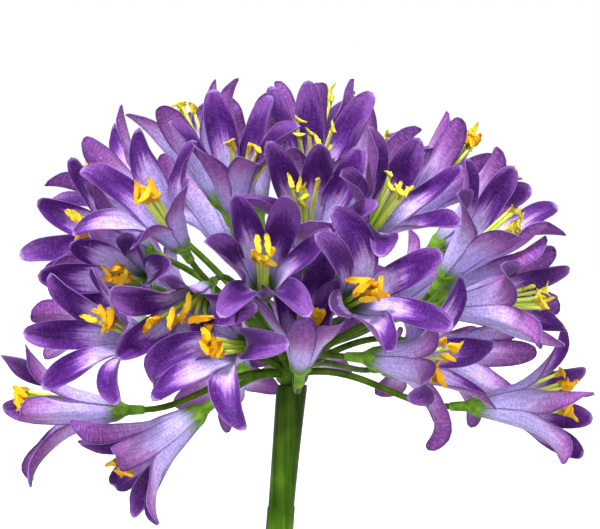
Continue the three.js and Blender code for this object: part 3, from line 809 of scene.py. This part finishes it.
# %% Pedicels, from the knob to each calyx
SOIL_TOP, STEM_RISE, STEM_LEAN = 117, 248, 12  # millimetres, as in the CAD
HUB = np.array([STEM_LEAN, 0, SOIL_TOP + STEM_RISE], float)
KNOB_RADIUS, KNOB_HEIGHT = 5.8, 8.5
heart = HUB + np.array([0, 0, 0.45 * KNOB_HEIGHT])
up = np.array([0, 0, 1.0])

pedicels = []
for number, floret in enumerate(florets, 1):
    seat, aim = floret["seat"] / MM, floret["aim"]
    root_way = unit(unit(seat - heart) + 0.32 * up)
    root = heart + root_way * (KNOB_RADIUS - 2.2)
    end = seat - aim * (CALYX_LENGTH - 0.4)
    span = np.linalg.norm(end - root)
    bpy.ops.object.select_all(action="DESELECT")
    bpy.ops.curve.primitive_bezier_curve_add()
    stalk = bpy.context.object
    stalk.data.bevel_depth = 1.0 * MM
    stalk.data.bevel_resolution = 2
    stalk.data.resolution_u = 14
    stalk.data.use_fill_caps = True
    first, last = stalk.data.splines[0].bezier_points
    for point, place, handle in ((first, root, 0.4 * span * root_way), (last, end, 0.35 * span * aim)):
        point.handle_left_type = point.handle_right_type = "FREE"
        point.co = place * MM
        point.handle_left = (place - handle) * MM
        point.handle_right = (place + handle) * MM
    first.radius, last.radius = 1.3, 1.05
    alone(stalk)
    bpy.ops.object.convert(target="MESH")
    pedicels.append(bpy.context.object)
print("pedicels:", len(pedicels), "stalks")

# %% [markdown]
# The knob where they meet is a sphere drawn a little long, with a collar that rests on the stem's rim.

# %% The knob
bpy.ops.object.select_all(action="DESELECT")
bpy.ops.mesh.primitive_uv_sphere_add(
    segments=24, ring_count=14, radius=KNOB_RADIUS * MM, location=Vector(heart * MM)
)
knob = bpy.context.object
bpy.ops.object.transform_apply(location=True, rotation=True, scale=True)
knob_rows = rows_of(knob, 2)
edit(knob)
pick(knob, [point for row in knob_rows[:5] for point in row])
bpy.ops.transform.resize(value=(0.86, 0.86, 1), center_override=Vector(heart * MM))
pick(knob, [point for row in knob_rows[:3] for point in row])
bpy.ops.transform.translate(value=(0, 0, -1.2 * MM))
done()
stalks = joined(pedicels + [knob], "pedicels")
smooth(stalks, 60)
dressed(stalks, pedicel_plastic, "spray_green", "pedicel_spray")
print("pedicels and knob:", len(stalks.data.polygons), "faces")

# %% [markdown]
# ## Stamens
#
# Six filaments rise from each throat and spread towards the mouth, each carrying an anther crosswise. A
# filament is a six-sided rod, modelled once with rings along it, and bowed to its place. An anther is a
# stubby bar with blunt, rough ends, a groove on top and a short neck under it.

# %% One filament and one anther
FILAMENT_RINGS = 7
FILAMENT_RADIUS = 0.9
ANTHER_HALF, ANTHER_SIDE, ANTHER_THICK = 3.0, 0.95, 0.75
ANTHER_NECK = 2.6
bpy.ops.object.select_all(action="DESELECT")
bpy.ops.mesh.primitive_circle_add(vertices=6, radius=FILAMENT_RADIUS, fill_type="NGON")
filament_pattern = named("filament_pattern")
edit(filament_pattern)
bpy.ops.mesh.select_all(action="SELECT")
for step in range(FILAMENT_RINGS):
    bpy.ops.mesh.extrude_region_move(TRANSFORM_OT_translate={"value": (0, 0, 1 / FILAMENT_RINGS)})
    bpy.ops.transform.resize(value=(0.96, 0.96, 1))
done(outward=True)
smooth(filament_pattern, 60)
filament_flat = points_of(filament_pattern)

bpy.ops.object.select_all(action="DESELECT")
bpy.ops.mesh.primitive_uv_sphere_add(segments=8, ring_count=10, radius=1, rotation=(0, math.pi / 2, 0))
anther_pattern = named("anther_pattern")
bpy.ops.object.transform_apply(location=True, rotation=True, scale=True)
edit(anther_pattern)
bpy.ops.mesh.select_all(action="SELECT")
bpy.ops.transform.resize(value=(ANTHER_HALF, ANTHER_SIDE, ANTHER_THICK))
done()
shape = [v.co.copy() for v in anther_pattern.data.vertices]
edit(anther_pattern)
pick(anther_pattern, [i for i, co in enumerate(shape) if abs(co.x) > 0.7 * ANTHER_HALF])
bpy.ops.transform.resize(value=(1.08, 0.9, 0.85))
pick(anther_pattern, [i for i, co in enumerate(shape) if abs(co.y) < 0.3 and co.z > 0.3 * ANTHER_THICK])
bpy.ops.transform.translate(value=(0, 0, -0.4))
beneath = [i for i, co in enumerate(shape) if abs(co.x) < 0.6 * ANTHER_HALF and co.z < -0.3 * ANTHER_THICK]
pick(anther_pattern, beneath)
bpy.ops.mesh.extrude_region_move(TRANSFORM_OT_translate={"value": (0, 0, -ANTHER_NECK)})
bpy.ops.transform.resize(value=(0.28, 0.7, 0.3))
bpy.ops.mesh.select_all(action="SELECT")
bpy.ops.transform.vertex_random(offset=0.32, uniform=0.6, normal=0, seed=12)
done()
smooth(anther_pattern, 55)
anther_flat = points_of(anther_pattern)
print(
    "patterns: filament",
    len(filament_pattern.data.polygons),
    "faces, anther",
    len(anther_pattern.data.polygons),
)

# %% Stamens in every floret
# Some florets' stamens lean off their axis, in one bundle or more: millimetres to the right and up, for each
OFF_AXIS = {
    1: [(4, 8), (5, 0)],
    2: [(-2, 5), (-3, -3)],
    3: [(3, 1)],
    4: [(6, -2)],
    5: [(5, 10)],
    6: [(-1, 7)],
    7: [(0, 1)],
    8: [(-1, 0)],
    9: [(0, 1)],
    10: [(-5, 1), (3, 4), (8, 0)],
    11: [(1, -1)],
    13: [(-3, -2)],
    14: [(-7, 4)],
    15: [(4, 4)],
    16: [(-1, 1)],
    17: [(0, 0)],
    18: [(-5, 0)],
    19: [(-3, 5)],
    21: [(1, -1), (10, -5)],
    22: [(4, 6)],
    23: [(-4, 1), (4, -3)],
    25: [(-2, 3)],
    26: [(1, 0)],
}
STAMENS = 6
# How young some florets' anthers are, from 0 for ripe and orange to 1 for green
YOUNG = {
    3: 0.7, 4: 0.8, 6: 0.7, 7: 0.9, 19: 0.8, 20: 0.6, 21: 0.8, 22: 0.8, 23: 0.9, 24: 0.8, 25: 0.7, 28: 0.7,
}
draw = random.Random(7)
filaments, anthers = [], []
for number, floret in enumerate(florets, 1):
    seat, aim = floret["seat"] / MM, floret["aim"]
    side_x, side_y, _ = frame_on(aim)
    bundles = OFF_AXIS.get(number, [(draw.uniform(-2, 2), draw.uniform(-2, 2))])
    young = YOUNG.get(number, draw.uniform(0, 0.3))
    for k in range(STAMENS):
        angle = 2 * math.pi * (k + draw.uniform(-0.3, 0.3)) / STAMENS
        side = side_x * math.cos(angle) + side_y * math.sin(angle)
        right, high = bundles[k % len(bundles)]
        foot = seat - 1.2 * aim + 1.2 * side
        lean = np.array([right, 0, high])
        forward = draw.uniform(22, 28) + 3 * young
        sideways = draw.uniform(1.0, 3.2 + 1.6 * young)
        head = seat + aim * forward + side * sideways + lean
        middle = (foot + head) / 2 - side * draw.uniform(0.2, 1.2) - lean * 0.15
        t = filament_flat[:, 2:3]
        line = (1 - t) ** 2 * foot + 2 * t * (1 - t) * middle + t**2 * head
        thin = filament_flat[:, 0:1] * side + filament_flat[:, 1:2] * np.cross(aim, side)
        rod = copied(filament_pattern, f"filament_{number}_{k}", (line + thin) * MM)
        rise = rod.data.attributes.new("rise", "FLOAT", "POINT")
        rise.data.foreach_set("value", filament_flat[:, 2].astype(np.float32))
        filaments.append(rod)
        ahead = unit(head - middle)
        across = np.cross(side, aim) * draw.uniform(0.3, 1) + side * draw.uniform(-1, 1)
        lie = unit(across + ahead * draw.uniform(-0.9, 0.9))
        face = unit(ahead - lie * lie.dot(ahead))
        share = min(1, max(0, young + draw.uniform(-0.25, 0.25)))
        size = draw.uniform(1.1, 1.5) * (1 - 0.48 * share)
        bent = anther_flat * size
        bent[:, 2] += draw.uniform(-0.6, 1.4) * (anther_flat[:, 0] / ANTHER_HALF) ** 2
        bent[:, 0] += draw.uniform(-0.9, 0.9) * (anther_flat[:, 0] / ANTHER_HALF) ** 2
        bar = bent @ np.array([lie, np.cross(face, lie), face])
        anther = copied(anther_pattern, f"anther_{number}_{k}", (bar + head + face * 0.6 * ANTHER_NECK) * MM)
        green = anther.data.attributes.new("young", "FLOAT", "POINT")
        green.data.foreach_set("value", np.full(len(anther_flat), share, np.float32))
        anthers.append(anther)
dressed(joined(filaments, "filaments"), filament_plastic, "spray_green", "pedicel_spray")
anther_piece = dressed(joined(anthers, "anthers"), anther_plastic, "anthers", "pedicel_spray")
print("stamens:", STAMENS * len(florets), "with", len(anther_piece.data.polygons), "anther faces")

# %% Put the patterns away
for pattern in (petal_pattern, calyx_pattern, filament_pattern, anther_pattern):
    bpy.data.objects.remove(pattern)

# %% [markdown]
# ## The stem
#
# The scape is a thick moulded stem in two lengths, plugged together under the head. It is drawn up from its
# foot in the soil, ring by ring, leaning a little as it rises. The plastic is satin, deep green, with faint
# lengthwise lines from the mould.

# %% Draw the stem up
JOINT = HUB[2] - 42
STEM_SIDES = 32


def stem_centre(z):
    share = max(0, (z - SOIL_TOP) / STEM_RISE)
    return STEM_LEAN * share * share


stem_rings = [(66, 5.6)]
for step in range(12):
    share = step / 11
    stem_rings.append((SOIL_TOP + (JOINT - 0.4 - SOIL_TOP) * share, 5.6 + (4.8 - 5.6) * share))
stem_rings += [(JOINT, 4.72), (JOINT + 0.5, 4.5)]
for share in (0.2, 0.4, 0.6, 0.8, 0.96):
    stem_rings.append((JOINT + (HUB[2] - JOINT) * share, 4.52 + 0.86 * share**1.4))
stem_rings += [(HUB[2], 5.2)]

bpy.ops.object.select_all(action="DESELECT")
bpy.ops.mesh.primitive_circle_add(
    vertices=STEM_SIDES,
    radius=stem_rings[0][1] * MM,
    location=(0, 0, stem_rings[0][0] * MM),
    fill_type="NGON",
)
stem = named("stem")
bpy.ops.object.transform_apply(location=True, rotation=True, scale=True)
edit(stem)
bpy.ops.mesh.select_all(action="SELECT")
draw_up(stem_rings, stem_centre)
done(outward=True)
smooth(stem, 40)
print("stem:", len(stem.data.polygons), "faces, joint at", JOINT, "mm")

# %% The stem's satin plastic
stem_plastic, tree, shader = finish(
    "satin_green_stem_plastic", Roughness=0.4, IOR=1.5, Specular_IOR_Level=0.06
)
here = node(tree, "ShaderNodeTexCoord")
line_map = node(
    tree,
    "ShaderNodeMapping",
    {"Vector": here.outputs["Object"], "Scale": (1 / (1.2 * MM), 1 / (1.2 * MM), 1 / (60 * MM))},
)
lines = node(tree, "ShaderNodeTexNoise", {"Vector": line_map, "Scale": 1, "Detail": 3})
patches = node(
    tree, "ShaderNodeTexNoise", {"Vector": here.outputs["Object"], "Scale": 1 / (14 * MM), "Detail": 2}
)
tones = node(tree, "ShaderNodeMath", {0: lines, 1: patches}, operation="ADD")
half_tones = node(tree, "ShaderNodeMath", {0: tones, 1: 0.5}, operation="MULTIPLY")
stem_tint = node(
    tree,
    "ShaderNodeValToRGB",
    {"Fac": half_tones},
    ramp=[(0.36, "#2E5606"), (0.64, "#6C9A22"), (0.5, "#487210")],
)
# Painted shade: towards the top the stem's green is darkened, standing in for the shade under the head.
SHADE_FROM, SHADE_TO = HUB[2] - 60, HUB[2] - 14  # the heights over which the painted shade darkens the green
stem_place = node(tree, "ShaderNodeSeparateXYZ", {"Vector": here.outputs["Object"]})
painted_head_shade = node(
    tree,
    "ShaderNodeMapRange",
    {
        "Value": stem_place.outputs[2], "From Min": SHADE_FROM * MM, "From Max": SHADE_TO * MM, "To Min": 1.0,
        "To Max": 0.27,
    },
)
shaded_stem_green = node(tree, "ShaderNodeVectorMath", {0: stem_tint, "Scale": painted_head_shade}, operation="SCALE")
tree.links.new(shaded_stem_green.outputs[0], shader.inputs["Base Color"])
mould_lines = node(tree, "ShaderNodeBump", {"Height": lines, "Strength": 0.25, "Distance": 0.15 * MM})
tree.links.new(mould_lines.outputs[0], shader.inputs["Normal"])
dressed(stem, stem_plastic, "scape", "scape")
print("material:", stem_plastic.name)

# %% [markdown]
# ## Strap leaves
#
# Each leaf is a long strap with a keel under it and a blunt tip, moulded in soft plastic with close parallel
# veins. One flat strap is a grid whose rows are narrowed to the outline. It is then laid along each leaf's
# own arch, which repeats the rule and the seeded draws that placed the CAD leaves.

# %% One flat strap, from 0 to 1 along and -1 to 1 across until it is laid
LEAF_COLUMNS, LEAF_ROWS = 10, 44
INNER = {"foot": 15, "length": 235, "width": 19, "start": 5, "end": 100, "bend": 1.7}
OUTER = {"foot": 26, "length": 205, "width": 21, "start": 10, "end": 122, "bend": 1.3}
LEAF_FOOT_WIDTH, LEAF_BURIED, LEAF_KEEL, LEAF_WALL = 11, 24, 1.6, 1.1
bpy.ops.object.select_all(action="DESELECT")
bpy.ops.mesh.primitive_grid_add(x_subdivisions=LEAF_COLUMNS, y_subdivisions=LEAF_ROWS, size=2)
strap = named("strap_pattern")
strap_rows = rows_of(strap, 1)
edit(strap)
for number, row in enumerate(strap_rows):
    pick(strap, row)
    bpy.ops.transform.translate(value=(0, 1 - number / LEAF_ROWS, 0))
done()
print("strap:", len(strap.data.polygons), "faces")


# %% The leaves' rule, as in the CAD
def seeded(seed):
    """The CAD's own seeded draw, from 0 to 1."""
    state = seed
    while True:
        state = (state * 16807) % 2147483647
        yield state / 2147483647


def leaf_line(leaf, share):
    """How far out and up a leaf is at a share of its length, and its tilt."""
    steps = 40
    out, rise = leaf["foot"], 0.0
    whole = min(steps, int(share * steps))
    for i in range(whole + 1):
        part = 1 if i < whole else share * steps - whole
        tilt = math.radians(
            leaf["start"] + (leaf["end"] - leaf["start"]) * ((i + 0.5) / steps) ** leaf["bend"]
        )
        out += math.sin(tilt) * leaf["length"] / steps * part
        rise += math.cos(tilt) * leaf["length"] / steps * part
    return out, rise, math.radians(leaf["start"] + (leaf["end"] - leaf["start"]) * share ** leaf["bend"])


def leaf_half_width(leaf, share):
    grown = LEAF_FOOT_WIDTH + (leaf["width"] - LEAF_FOOT_WIDTH) * min(1, share / 0.35)
    tip = math.sqrt(max(0, 1 - ((share - 0.6) / 0.405) ** 2.2)) if share > 0.6 else 1
    return grown * tip / 2


# %% [markdown]
# The leaf plastic carries its veins lengthwise, about 1.3 mm apart, paler than the blade. Its colour is
# darkened towards the foot as painted shade, where leaves shade each other.

# %% Veined leaf plastic
leaf_plastic, tree, shader = finish("veined_leaf_plastic", Roughness=0.5, IOR=1.5, Specular_IOR_Level=0.18)
shader.inputs["Subsurface Scale"].default_value = 0.001
uv = node(tree, "ShaderNodeUVMap", uv_map="UVMap")
vein_map = node(tree, "ShaderNodeMapping", {"Vector": uv.outputs["UV"], "Scale": (1, 0.02, 1)})
veins = node(
    tree,
    "ShaderNodeTexWave",
    {"Vector": vein_map, "Scale": 2.4, "Distortion": 0.6, "Detail": 2, "Detail Scale": 3},
    bands_direction="X",
)
leaf_here = node(tree, "ShaderNodeTexCoord")
blotches = node(
    tree, "ShaderNodeTexNoise", {"Vector": leaf_here.outputs["Object"], "Scale": 1 / (22 * MM), "Detail": 3}
)
along_leaf = node(tree, "ShaderNodeSeparateXYZ", {"Vector": uv.outputs["UV"]})
# painted shade: the tone is lowered towards the foot of each leaf
painted_foot_shade = node(
    tree, "ShaderNodeMath", {0: along_leaf.outputs[1], 1: 0.35, 2: -0.17}, operation="MULTIPLY_ADD"
)
leaf_tone = node(tree, "ShaderNodeMath", {0: blotches, 1: painted_foot_shade}, operation="ADD")
blade_tint = node(
    tree,
    "ShaderNodeValToRGB",
    {"Fac": leaf_tone},
    ramp=[(0.25, "#24480C"), (0.75, "#588620"), (0.5, "#3C6A12")],
)
vein_line = node(
    tree,
    "ShaderNodeMapRange",
    {"Value": veins.outputs["Fac"], "From Min": 0.55, "From Max": 1.0, "To Min": 0.0, "To Max": 0.35},
)
veined = node(
    tree,
    "ShaderNodeMix",
    {MIX_FACTOR: vein_line, MIX_A: blade_tint, MIX_B: linear("#7CA040")},
    data_type="RGBA",
)
tree.links.new(veined.outputs[MIX_RESULT], shader.inputs["Base Color"])
vein_bump = node(
    tree, "ShaderNodeBump", {"Height": veins.outputs["Fac"], "Strength": 0.3, "Distance": 0.3 * MM}
)
tree.links.new(vein_bump.outputs[0], shader.inputs["Normal"])
print("material:", leaf_plastic.name)

# %% Lay every leaf
strap_flat = points_of(strap)
leaf_draw = seeded(2029)
for i, name in enumerate(leaf_names):
    kind = INNER if i % 2 else OUTER
    leaf = dict(kind, length=kind["length"] * (0.9 + 0.2 * next(leaf_draw)))
    turn = math.radians(15 + 40 * i + (next(leaf_draw) - 0.5) * 2 * 8)
    outward = np.array([math.cos(turn), math.sin(turn), 0])
    across = np.array([-math.sin(turn), math.cos(turn), 0])
    points = []
    for x, y, _ in strap_flat:
        share = (y - 0.04) / 0.96
        if share < 0:
            out, rise = leaf["foot"], (share / 0.0417) * LEAF_BURIED
            tilt, half = math.radians(leaf["start"]), LEAF_FOOT_WIDTH / 2
        else:
            out, rise, tilt = leaf_line(leaf, share)
            half = leaf_half_width(leaf, share)
        under = outward * math.cos(tilt) - up * math.sin(tilt)
        keel = LEAF_KEEL * (2 * half / leaf["width"]) * min(1, max(0.25, share / 0.2))
        ripple = 0.5 * math.sin(14 * share + 2 * i) * x * abs(x)
        centre = outward * out + up * (SOIL_TOP + rise)
        sag = keel * abs(x) ** 1.3 + ripple * min(1, max(0, share) * 4)
        points.append(centre + across * (x * half) - under * sag)
    blade = copied(strap, f"leaf_blade_{i + 1}", np.array(points) * MM)
    apply_modifier(blade, "SOLIDIFY", thickness=LEAF_WALL * MM, offset=0)
    smooth(blade, 60)
    dressed(blade, leaf_plastic, "leaves", name)
bpy.data.objects.remove(strap)
print("leaves:", len(leaf_names), "laid")

# %% [markdown]
# ## The clay pot
#
# A terracotta pot is thrown or pressed, so every ring of it is round. It is drawn up from a flat base to the
# band round its mouth, then inset and pushed down for the inside. Bevel rounds its edges as a wet sponge
# does before firing.

# %% Draw the pot up
POT_RINGS = [(0, 51.2), (0.8, 52.0), (60, 61.8), (104, 69.0), (105, 74.0), (130, 75.0)]  # heights and radii
POT_WALL, HOLLOW = 6, 24  # how thick the brim is, and how far down the inside goes, to under the soil
MOUTH, MOUTH_FLOOR = 69, 64.5  # the inside's radius at the brim and at that depth
bpy.ops.object.select_all(action="DESELECT")
bpy.ops.mesh.primitive_circle_add(vertices=96, radius=POT_RINGS[0][1] * MM, fill_type="NGON")
pot = named("clay_pot")
edit(pot)
bpy.ops.mesh.select_all(action="SELECT")
draw_up(POT_RINGS)
bpy.ops.mesh.inset(thickness=POT_WALL * MM)
draw_up([(0, MOUTH), (-HOLLOW, MOUTH_FLOOR)])
done(outward=True)
apply_modifier(pot, "BEVEL", width=0.9 * MM, segments=3, limit_method="ANGLE", angle_limit=math.radians(28))
smooth(pot, 40)
print("pot:", len(pot.data.polygons), "faces")

# %% [markdown]
# Terracotta is matte and warm, mottled where the clay was drier, with spots of pale lime bloom, fine turning
# lines, and grit that shows as small dark specks.

# %% Terracotta
terracotta, tree, shader = finish("fired_terracotta", Roughness=0.88, IOR=1.5, Specular_IOR_Level=0.25)
here = node(tree, "ShaderNodeTexCoord")
mottle = node(
    tree,
    "ShaderNodeTexNoise",
    {"Vector": here.outputs["Object"], "Scale": 1 / (26 * MM), "Detail": 5, "Roughness": 0.6},
)
clay_tint = node(
    tree, "ShaderNodeValToRGB", {"Fac": mottle}, ramp=[(0.3, "#A6573A"), (0.72, "#C9805C"), (0.5, "#B96B49")]
)
ring_map = node(
    tree,
    "ShaderNodeMapping",
    {"Vector": here.outputs["Object"], "Scale": (1 / (90 * MM), 1 / (90 * MM), 1 / (1.6 * MM))},
)
rings = node(tree, "ShaderNodeTexNoise", {"Vector": ring_map, "Scale": 1, "Detail": 3})
lime_noise = node(
    tree,
    "ShaderNodeTexNoise",
    {"Vector": here.outputs["Object"], "Scale": 1 / (9 * MM), "Detail": 6, "Roughness": 0.7},
)
lime = node(
    tree,
    "ShaderNodeMapRange",
    {"Value": lime_noise, "From Min": 0.52, "From Max": 0.75, "To Min": 0.0, "To Max": 0.5},
)
limed = node(
    tree, "ShaderNodeMix", {MIX_FACTOR: lime, MIX_A: clay_tint, MIX_B: linear("#D9B79D")}, data_type="RGBA"
)
specks = node(tree, "ShaderNodeTexVoronoi", {"Vector": here.outputs["Object"], "Scale": 1 / (3.5 * MM)})
speck = node(
    tree,
    "ShaderNodeMapRange",
    {"Value": specks.outputs["Distance"], "From Min": 0.06, "From Max": 0.14, "To Min": 0.4, "To Max": 0.0},
)
gritty = node(
    tree,
    "ShaderNodeMix",
    {MIX_FACTOR: speck, MIX_A: limed.outputs[MIX_RESULT], MIX_B: linear("#7A3F2A")},
    data_type="RGBA",
)
tree.links.new(gritty.outputs[MIX_RESULT], shader.inputs["Base Color"])
turned = node(tree, "ShaderNodeBump", {"Height": rings, "Strength": 0.4, "Distance": 0.4 * MM})
pitted = node(
    tree, "ShaderNodeBump", {"Height": lime_noise, "Strength": 0.3, "Distance": 0.5 * MM, "Normal": turned}
)
tree.links.new(pitted.outputs[0], shader.inputs["Normal"])
dressed(pot, terracotta, "pot_clay", "pot")
print("material:", terracotta.name)

# %% [markdown]
# ## Soil
#
# Potting soil is dark, damp peat with crumbs and bits of bark. Its surface is a disc inset ring by ring and
# pushed about at random, and crumbs of two kinds lie on it, each a low-sided ball squashed to its own shape.

# %% The bed
SOIL_RADIUS, SOIL_DEPTH, SOIL_EDGE = 65.2, 30, 112  # millimetres; the last is how high its edge lies
RING_WIDTH, RING_RISE, STEEP_RINGS = 6.4, 1.1, 5  # it rises over its outer rings and is nearly flat inside
bpy.ops.object.select_all(action="DESELECT")
soil_middle = (SOIL_EDGE - SOIL_DEPTH / 2) * MM
bpy.ops.mesh.primitive_cylinder_add(
    vertices=64, radius=SOIL_RADIUS * MM, depth=SOIL_DEPTH * MM, location=(0, 0, soil_middle)
)
soil = named("soil_bed")
bpy.ops.object.transform_apply(location=True, rotation=True, scale=True)
top_ring = rows_of(soil, 2)[-1]
edit(soil)
pick(soil, top_ring)
for step in range(9):
    bpy.ops.mesh.inset(thickness=RING_WIDTH * MM)
    bpy.ops.transform.translate(value=(0, 0, (RING_RISE if step < STEEP_RINGS else 0.15) * MM))
done()
bed_points = [v.index for v in soil.data.vertices if v.co.z > (SOIL_EDGE + 0.5) * MM]
edit(soil)
pick(soil, bed_points)
bpy.ops.mesh.subdivide(number_cuts=1)
bpy.ops.transform.vertex_random(offset=0.9 * MM, uniform=0.2, normal=0.8, seed=4)
done()
smooth(soil, 50)
print("soil bed:", len(soil.data.polygons), "faces")

# %% Crumbs on it
bpy.ops.object.select_all(action="DESELECT")
bpy.ops.mesh.primitive_ico_sphere_add(subdivisions=1, radius=1)
crumb_pattern = named("crumb_pattern")
edit(crumb_pattern)
bpy.ops.mesh.select_all(action="SELECT")
bpy.ops.transform.vertex_random(offset=0.25, uniform=1, seed=9)
done()
crumb_flat = points_of(crumb_pattern)
CRUMBS, FARTHEST, HIGHEST = 520, 63, 5  # how many, how far out, and how far above the bed's edge
draw = random.Random(31)
crumbs = []
for number in range(CRUMBS):
    reach = FARTHEST * math.sqrt(draw.random())
    angle = draw.uniform(0, 2 * math.pi)
    size = draw.uniform(0.5, 1.5) if number % 9 else draw.uniform(1.4, 2.6)
    squash = Matrix.Diagonal((size, size * draw.uniform(0.6, 1), size * draw.uniform(0.4, 0.8)))
    spin = Matrix.Rotation(draw.uniform(0, 6.3), 3, "Z") @ Matrix.Rotation(draw.uniform(-0.5, 0.5), 3, "X")
    bed_height = SOIL_EDGE + min(HIGHEST, (65 - reach) / RING_WIDTH * RING_RISE)
    place = np.array([reach * math.cos(angle), reach * math.sin(angle), bed_height + 0.2 * size])
    points = crumb_flat @ np.array(spin @ squash).T
    crumbs.append(copied(crumb_pattern, f"crumb_{number}", (points + place) * MM))
bpy.data.objects.remove(crumb_pattern)
crumb_piece = joined(crumbs, "soil_crumbs")
print("crumbs:", len(crumbs), "with", len(crumb_piece.data.polygons), "faces")

# %% Peat
peat, tree, shader = finish("damp_peat", Roughness=0.95, IOR=1.4, Specular_IOR_Level=0.2)
here = node(tree, "ShaderNodeTexCoord")
lumps = node(
    tree,
    "ShaderNodeTexNoise",
    {"Vector": here.outputs["Object"], "Scale": 1 / (4 * MM), "Detail": 6, "Roughness": 0.7},
)
peat_tint = node(
    tree, "ShaderNodeValToRGB", {"Fac": lumps}, ramp=[(0.3, "#1E140E"), (0.75, "#6A4C36"), (0.52, "#3B281C")]
)
tree.links.new(peat_tint.outputs[0], shader.inputs["Base Color"])
peat_bump = node(tree, "ShaderNodeBump", {"Height": lumps, "Strength": 0.8, "Distance": 0.8 * MM})
tree.links.new(peat_bump.outputs[0], shader.inputs["Normal"])
dressed(soil, peat, "soil", "soil")
dressed(crumb_piece, peat, "soil", "soil")
print("material:", peat.name)

# %% [markdown]
# ## The studio
#
# The photo was taken against pure white under soft light from above and a little in front. A pale floor and
# a pale sky meet at the horizon. A broad sun gives the shapes their soft side, and two weaker ones lift the
# shadows.

# %% Floor
FLOOR_RADIUS = 60  # metres
bpy.ops.object.select_all(action="DESELECT")
bpy.ops.mesh.primitive_circle_add(vertices=64, radius=FLOOR_RADIUS, fill_type="NGON")
floor = named("floor")
floor_paint, tree, shader = finish("matt_white_floor", Roughness=0.9, Specular_IOR_Level=0.1)
floor_here = node(tree, "ShaderNodeTexCoord")
from_pot = node(tree, "ShaderNodeVectorMath", {0: floor_here.outputs["Object"]}, operation="LENGTH")
far = node(
    tree,
    "ShaderNodeMapRange",
    {"Value": from_pot.outputs["Value"], "From Min": 1.2, "From Max": 2.5, "To Min": 0.0, "To Max": 1.0},
)
floor_tint = node(tree, "ShaderNodeValToRGB", {"Fac": far}, ramp=[(0.0, "#C4C4C6"), (1.0, "#FAFAFA")])
tree.links.new(floor_tint.outputs[0], shader.inputs["Base Color"])
floor.data.materials.append(floor_paint)
floor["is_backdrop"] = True
print("floor: a disc of", FLOOR_RADIUS, "m radius")

# %% Sky and suns
world = bpy.data.worlds.new("studio_sky")
bpy.context.scene.world = world
world.use_nodes = True
tree = world.node_tree
sky = tree.nodes["Background"]
way = node(tree, "ShaderNodeTexCoord")
rise = node(tree, "ShaderNodeSeparateXYZ", {"Vector": way.outputs["Generated"]})
sky_tint = node(
    tree,
    "ShaderNodeValToRGB",
    {"Fac": rise.outputs[2]},
    ramp=[(0.0, "#FFFFFF"), (1.0, "#727276"), (0.16, "#FFFFFF"), (0.3, "#7C7C80")],
)
tree.links.new(sky_tint.outputs[0], sky.inputs["Color"])
sky.inputs["Strength"].default_value = 1.0


def sun(name, strength, soft, azimuth, elevation):
    """A soft sun that shines from an azimuth (0 is from the front, 90 from the right) and an elevation."""
    lamp = bpy.data.lights.new(name, "SUN")
    lamp.energy = strength
    lamp.angle = math.radians(soft)
    holder = bpy.data.objects.new(name, lamp)
    bpy.context.scene.collection.objects.link(holder)
    a, e = math.radians(azimuth), math.radians(elevation)
    towards = Vector((math.sin(a) * math.cos(e), -math.cos(a) * math.cos(e), math.sin(e)))
    holder.rotation_euler = towards.to_track_quat("Z", "Y").to_euler()


sun("key", 4.8, 14, -30, 54)
sun("fill", 0.5, 40, 60, 35)
sun("front", 1.0, 30, 6, 14)
print("light: sky and three soft suns")

# %% [markdown]
# ## The camera
#
# The photo looks at the head level with its middle. At the head's centre one of its 600 pixels is 0.345 mm,
# which gives the lens for a chosen distance.

# %% Camera
PIXEL = 0.345  # millimetres at the head's centre
DISTANCE = 740
SENSOR = 36
PHOTO_WIDTH = 600  # pixels
RIGHT_OF_HUB, ABOVE_HUB = 8, 120.5  # pixels from the knob to the photo's middle
lens = SENSOR * DISTANCE / (PHOTO_WIDTH * PIXEL)
camera = bpy.data.objects.new("camera", bpy.data.cameras.new("camera"))
bpy.context.scene.collection.objects.link(camera)
camera.data.lens = lens
camera.data.sensor_width = SENSOR
camera.data.sensor_fit = "HORIZONTAL"
camera.data.clip_end = 200
camera.location = Vector((HUB[0] + RIGHT_OF_HUB * PIXEL, -DISTANCE, HUB[2] + ABOVE_HUB * PIXEL)) * MM
camera.rotation_euler = (math.pi / 2, 0, 0)
bpy.context.scene.camera = camera
bpy.context.scene.view_settings.view_transform = "Standard"
print("camera: lens", round(lens, 1), "mm at", tuple(round(c, 4) for c in camera.location))

# %% [markdown]
# ## The size
#
# The box round every shown piece, the floor aside, is measured.

# %% Sizes
low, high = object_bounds()
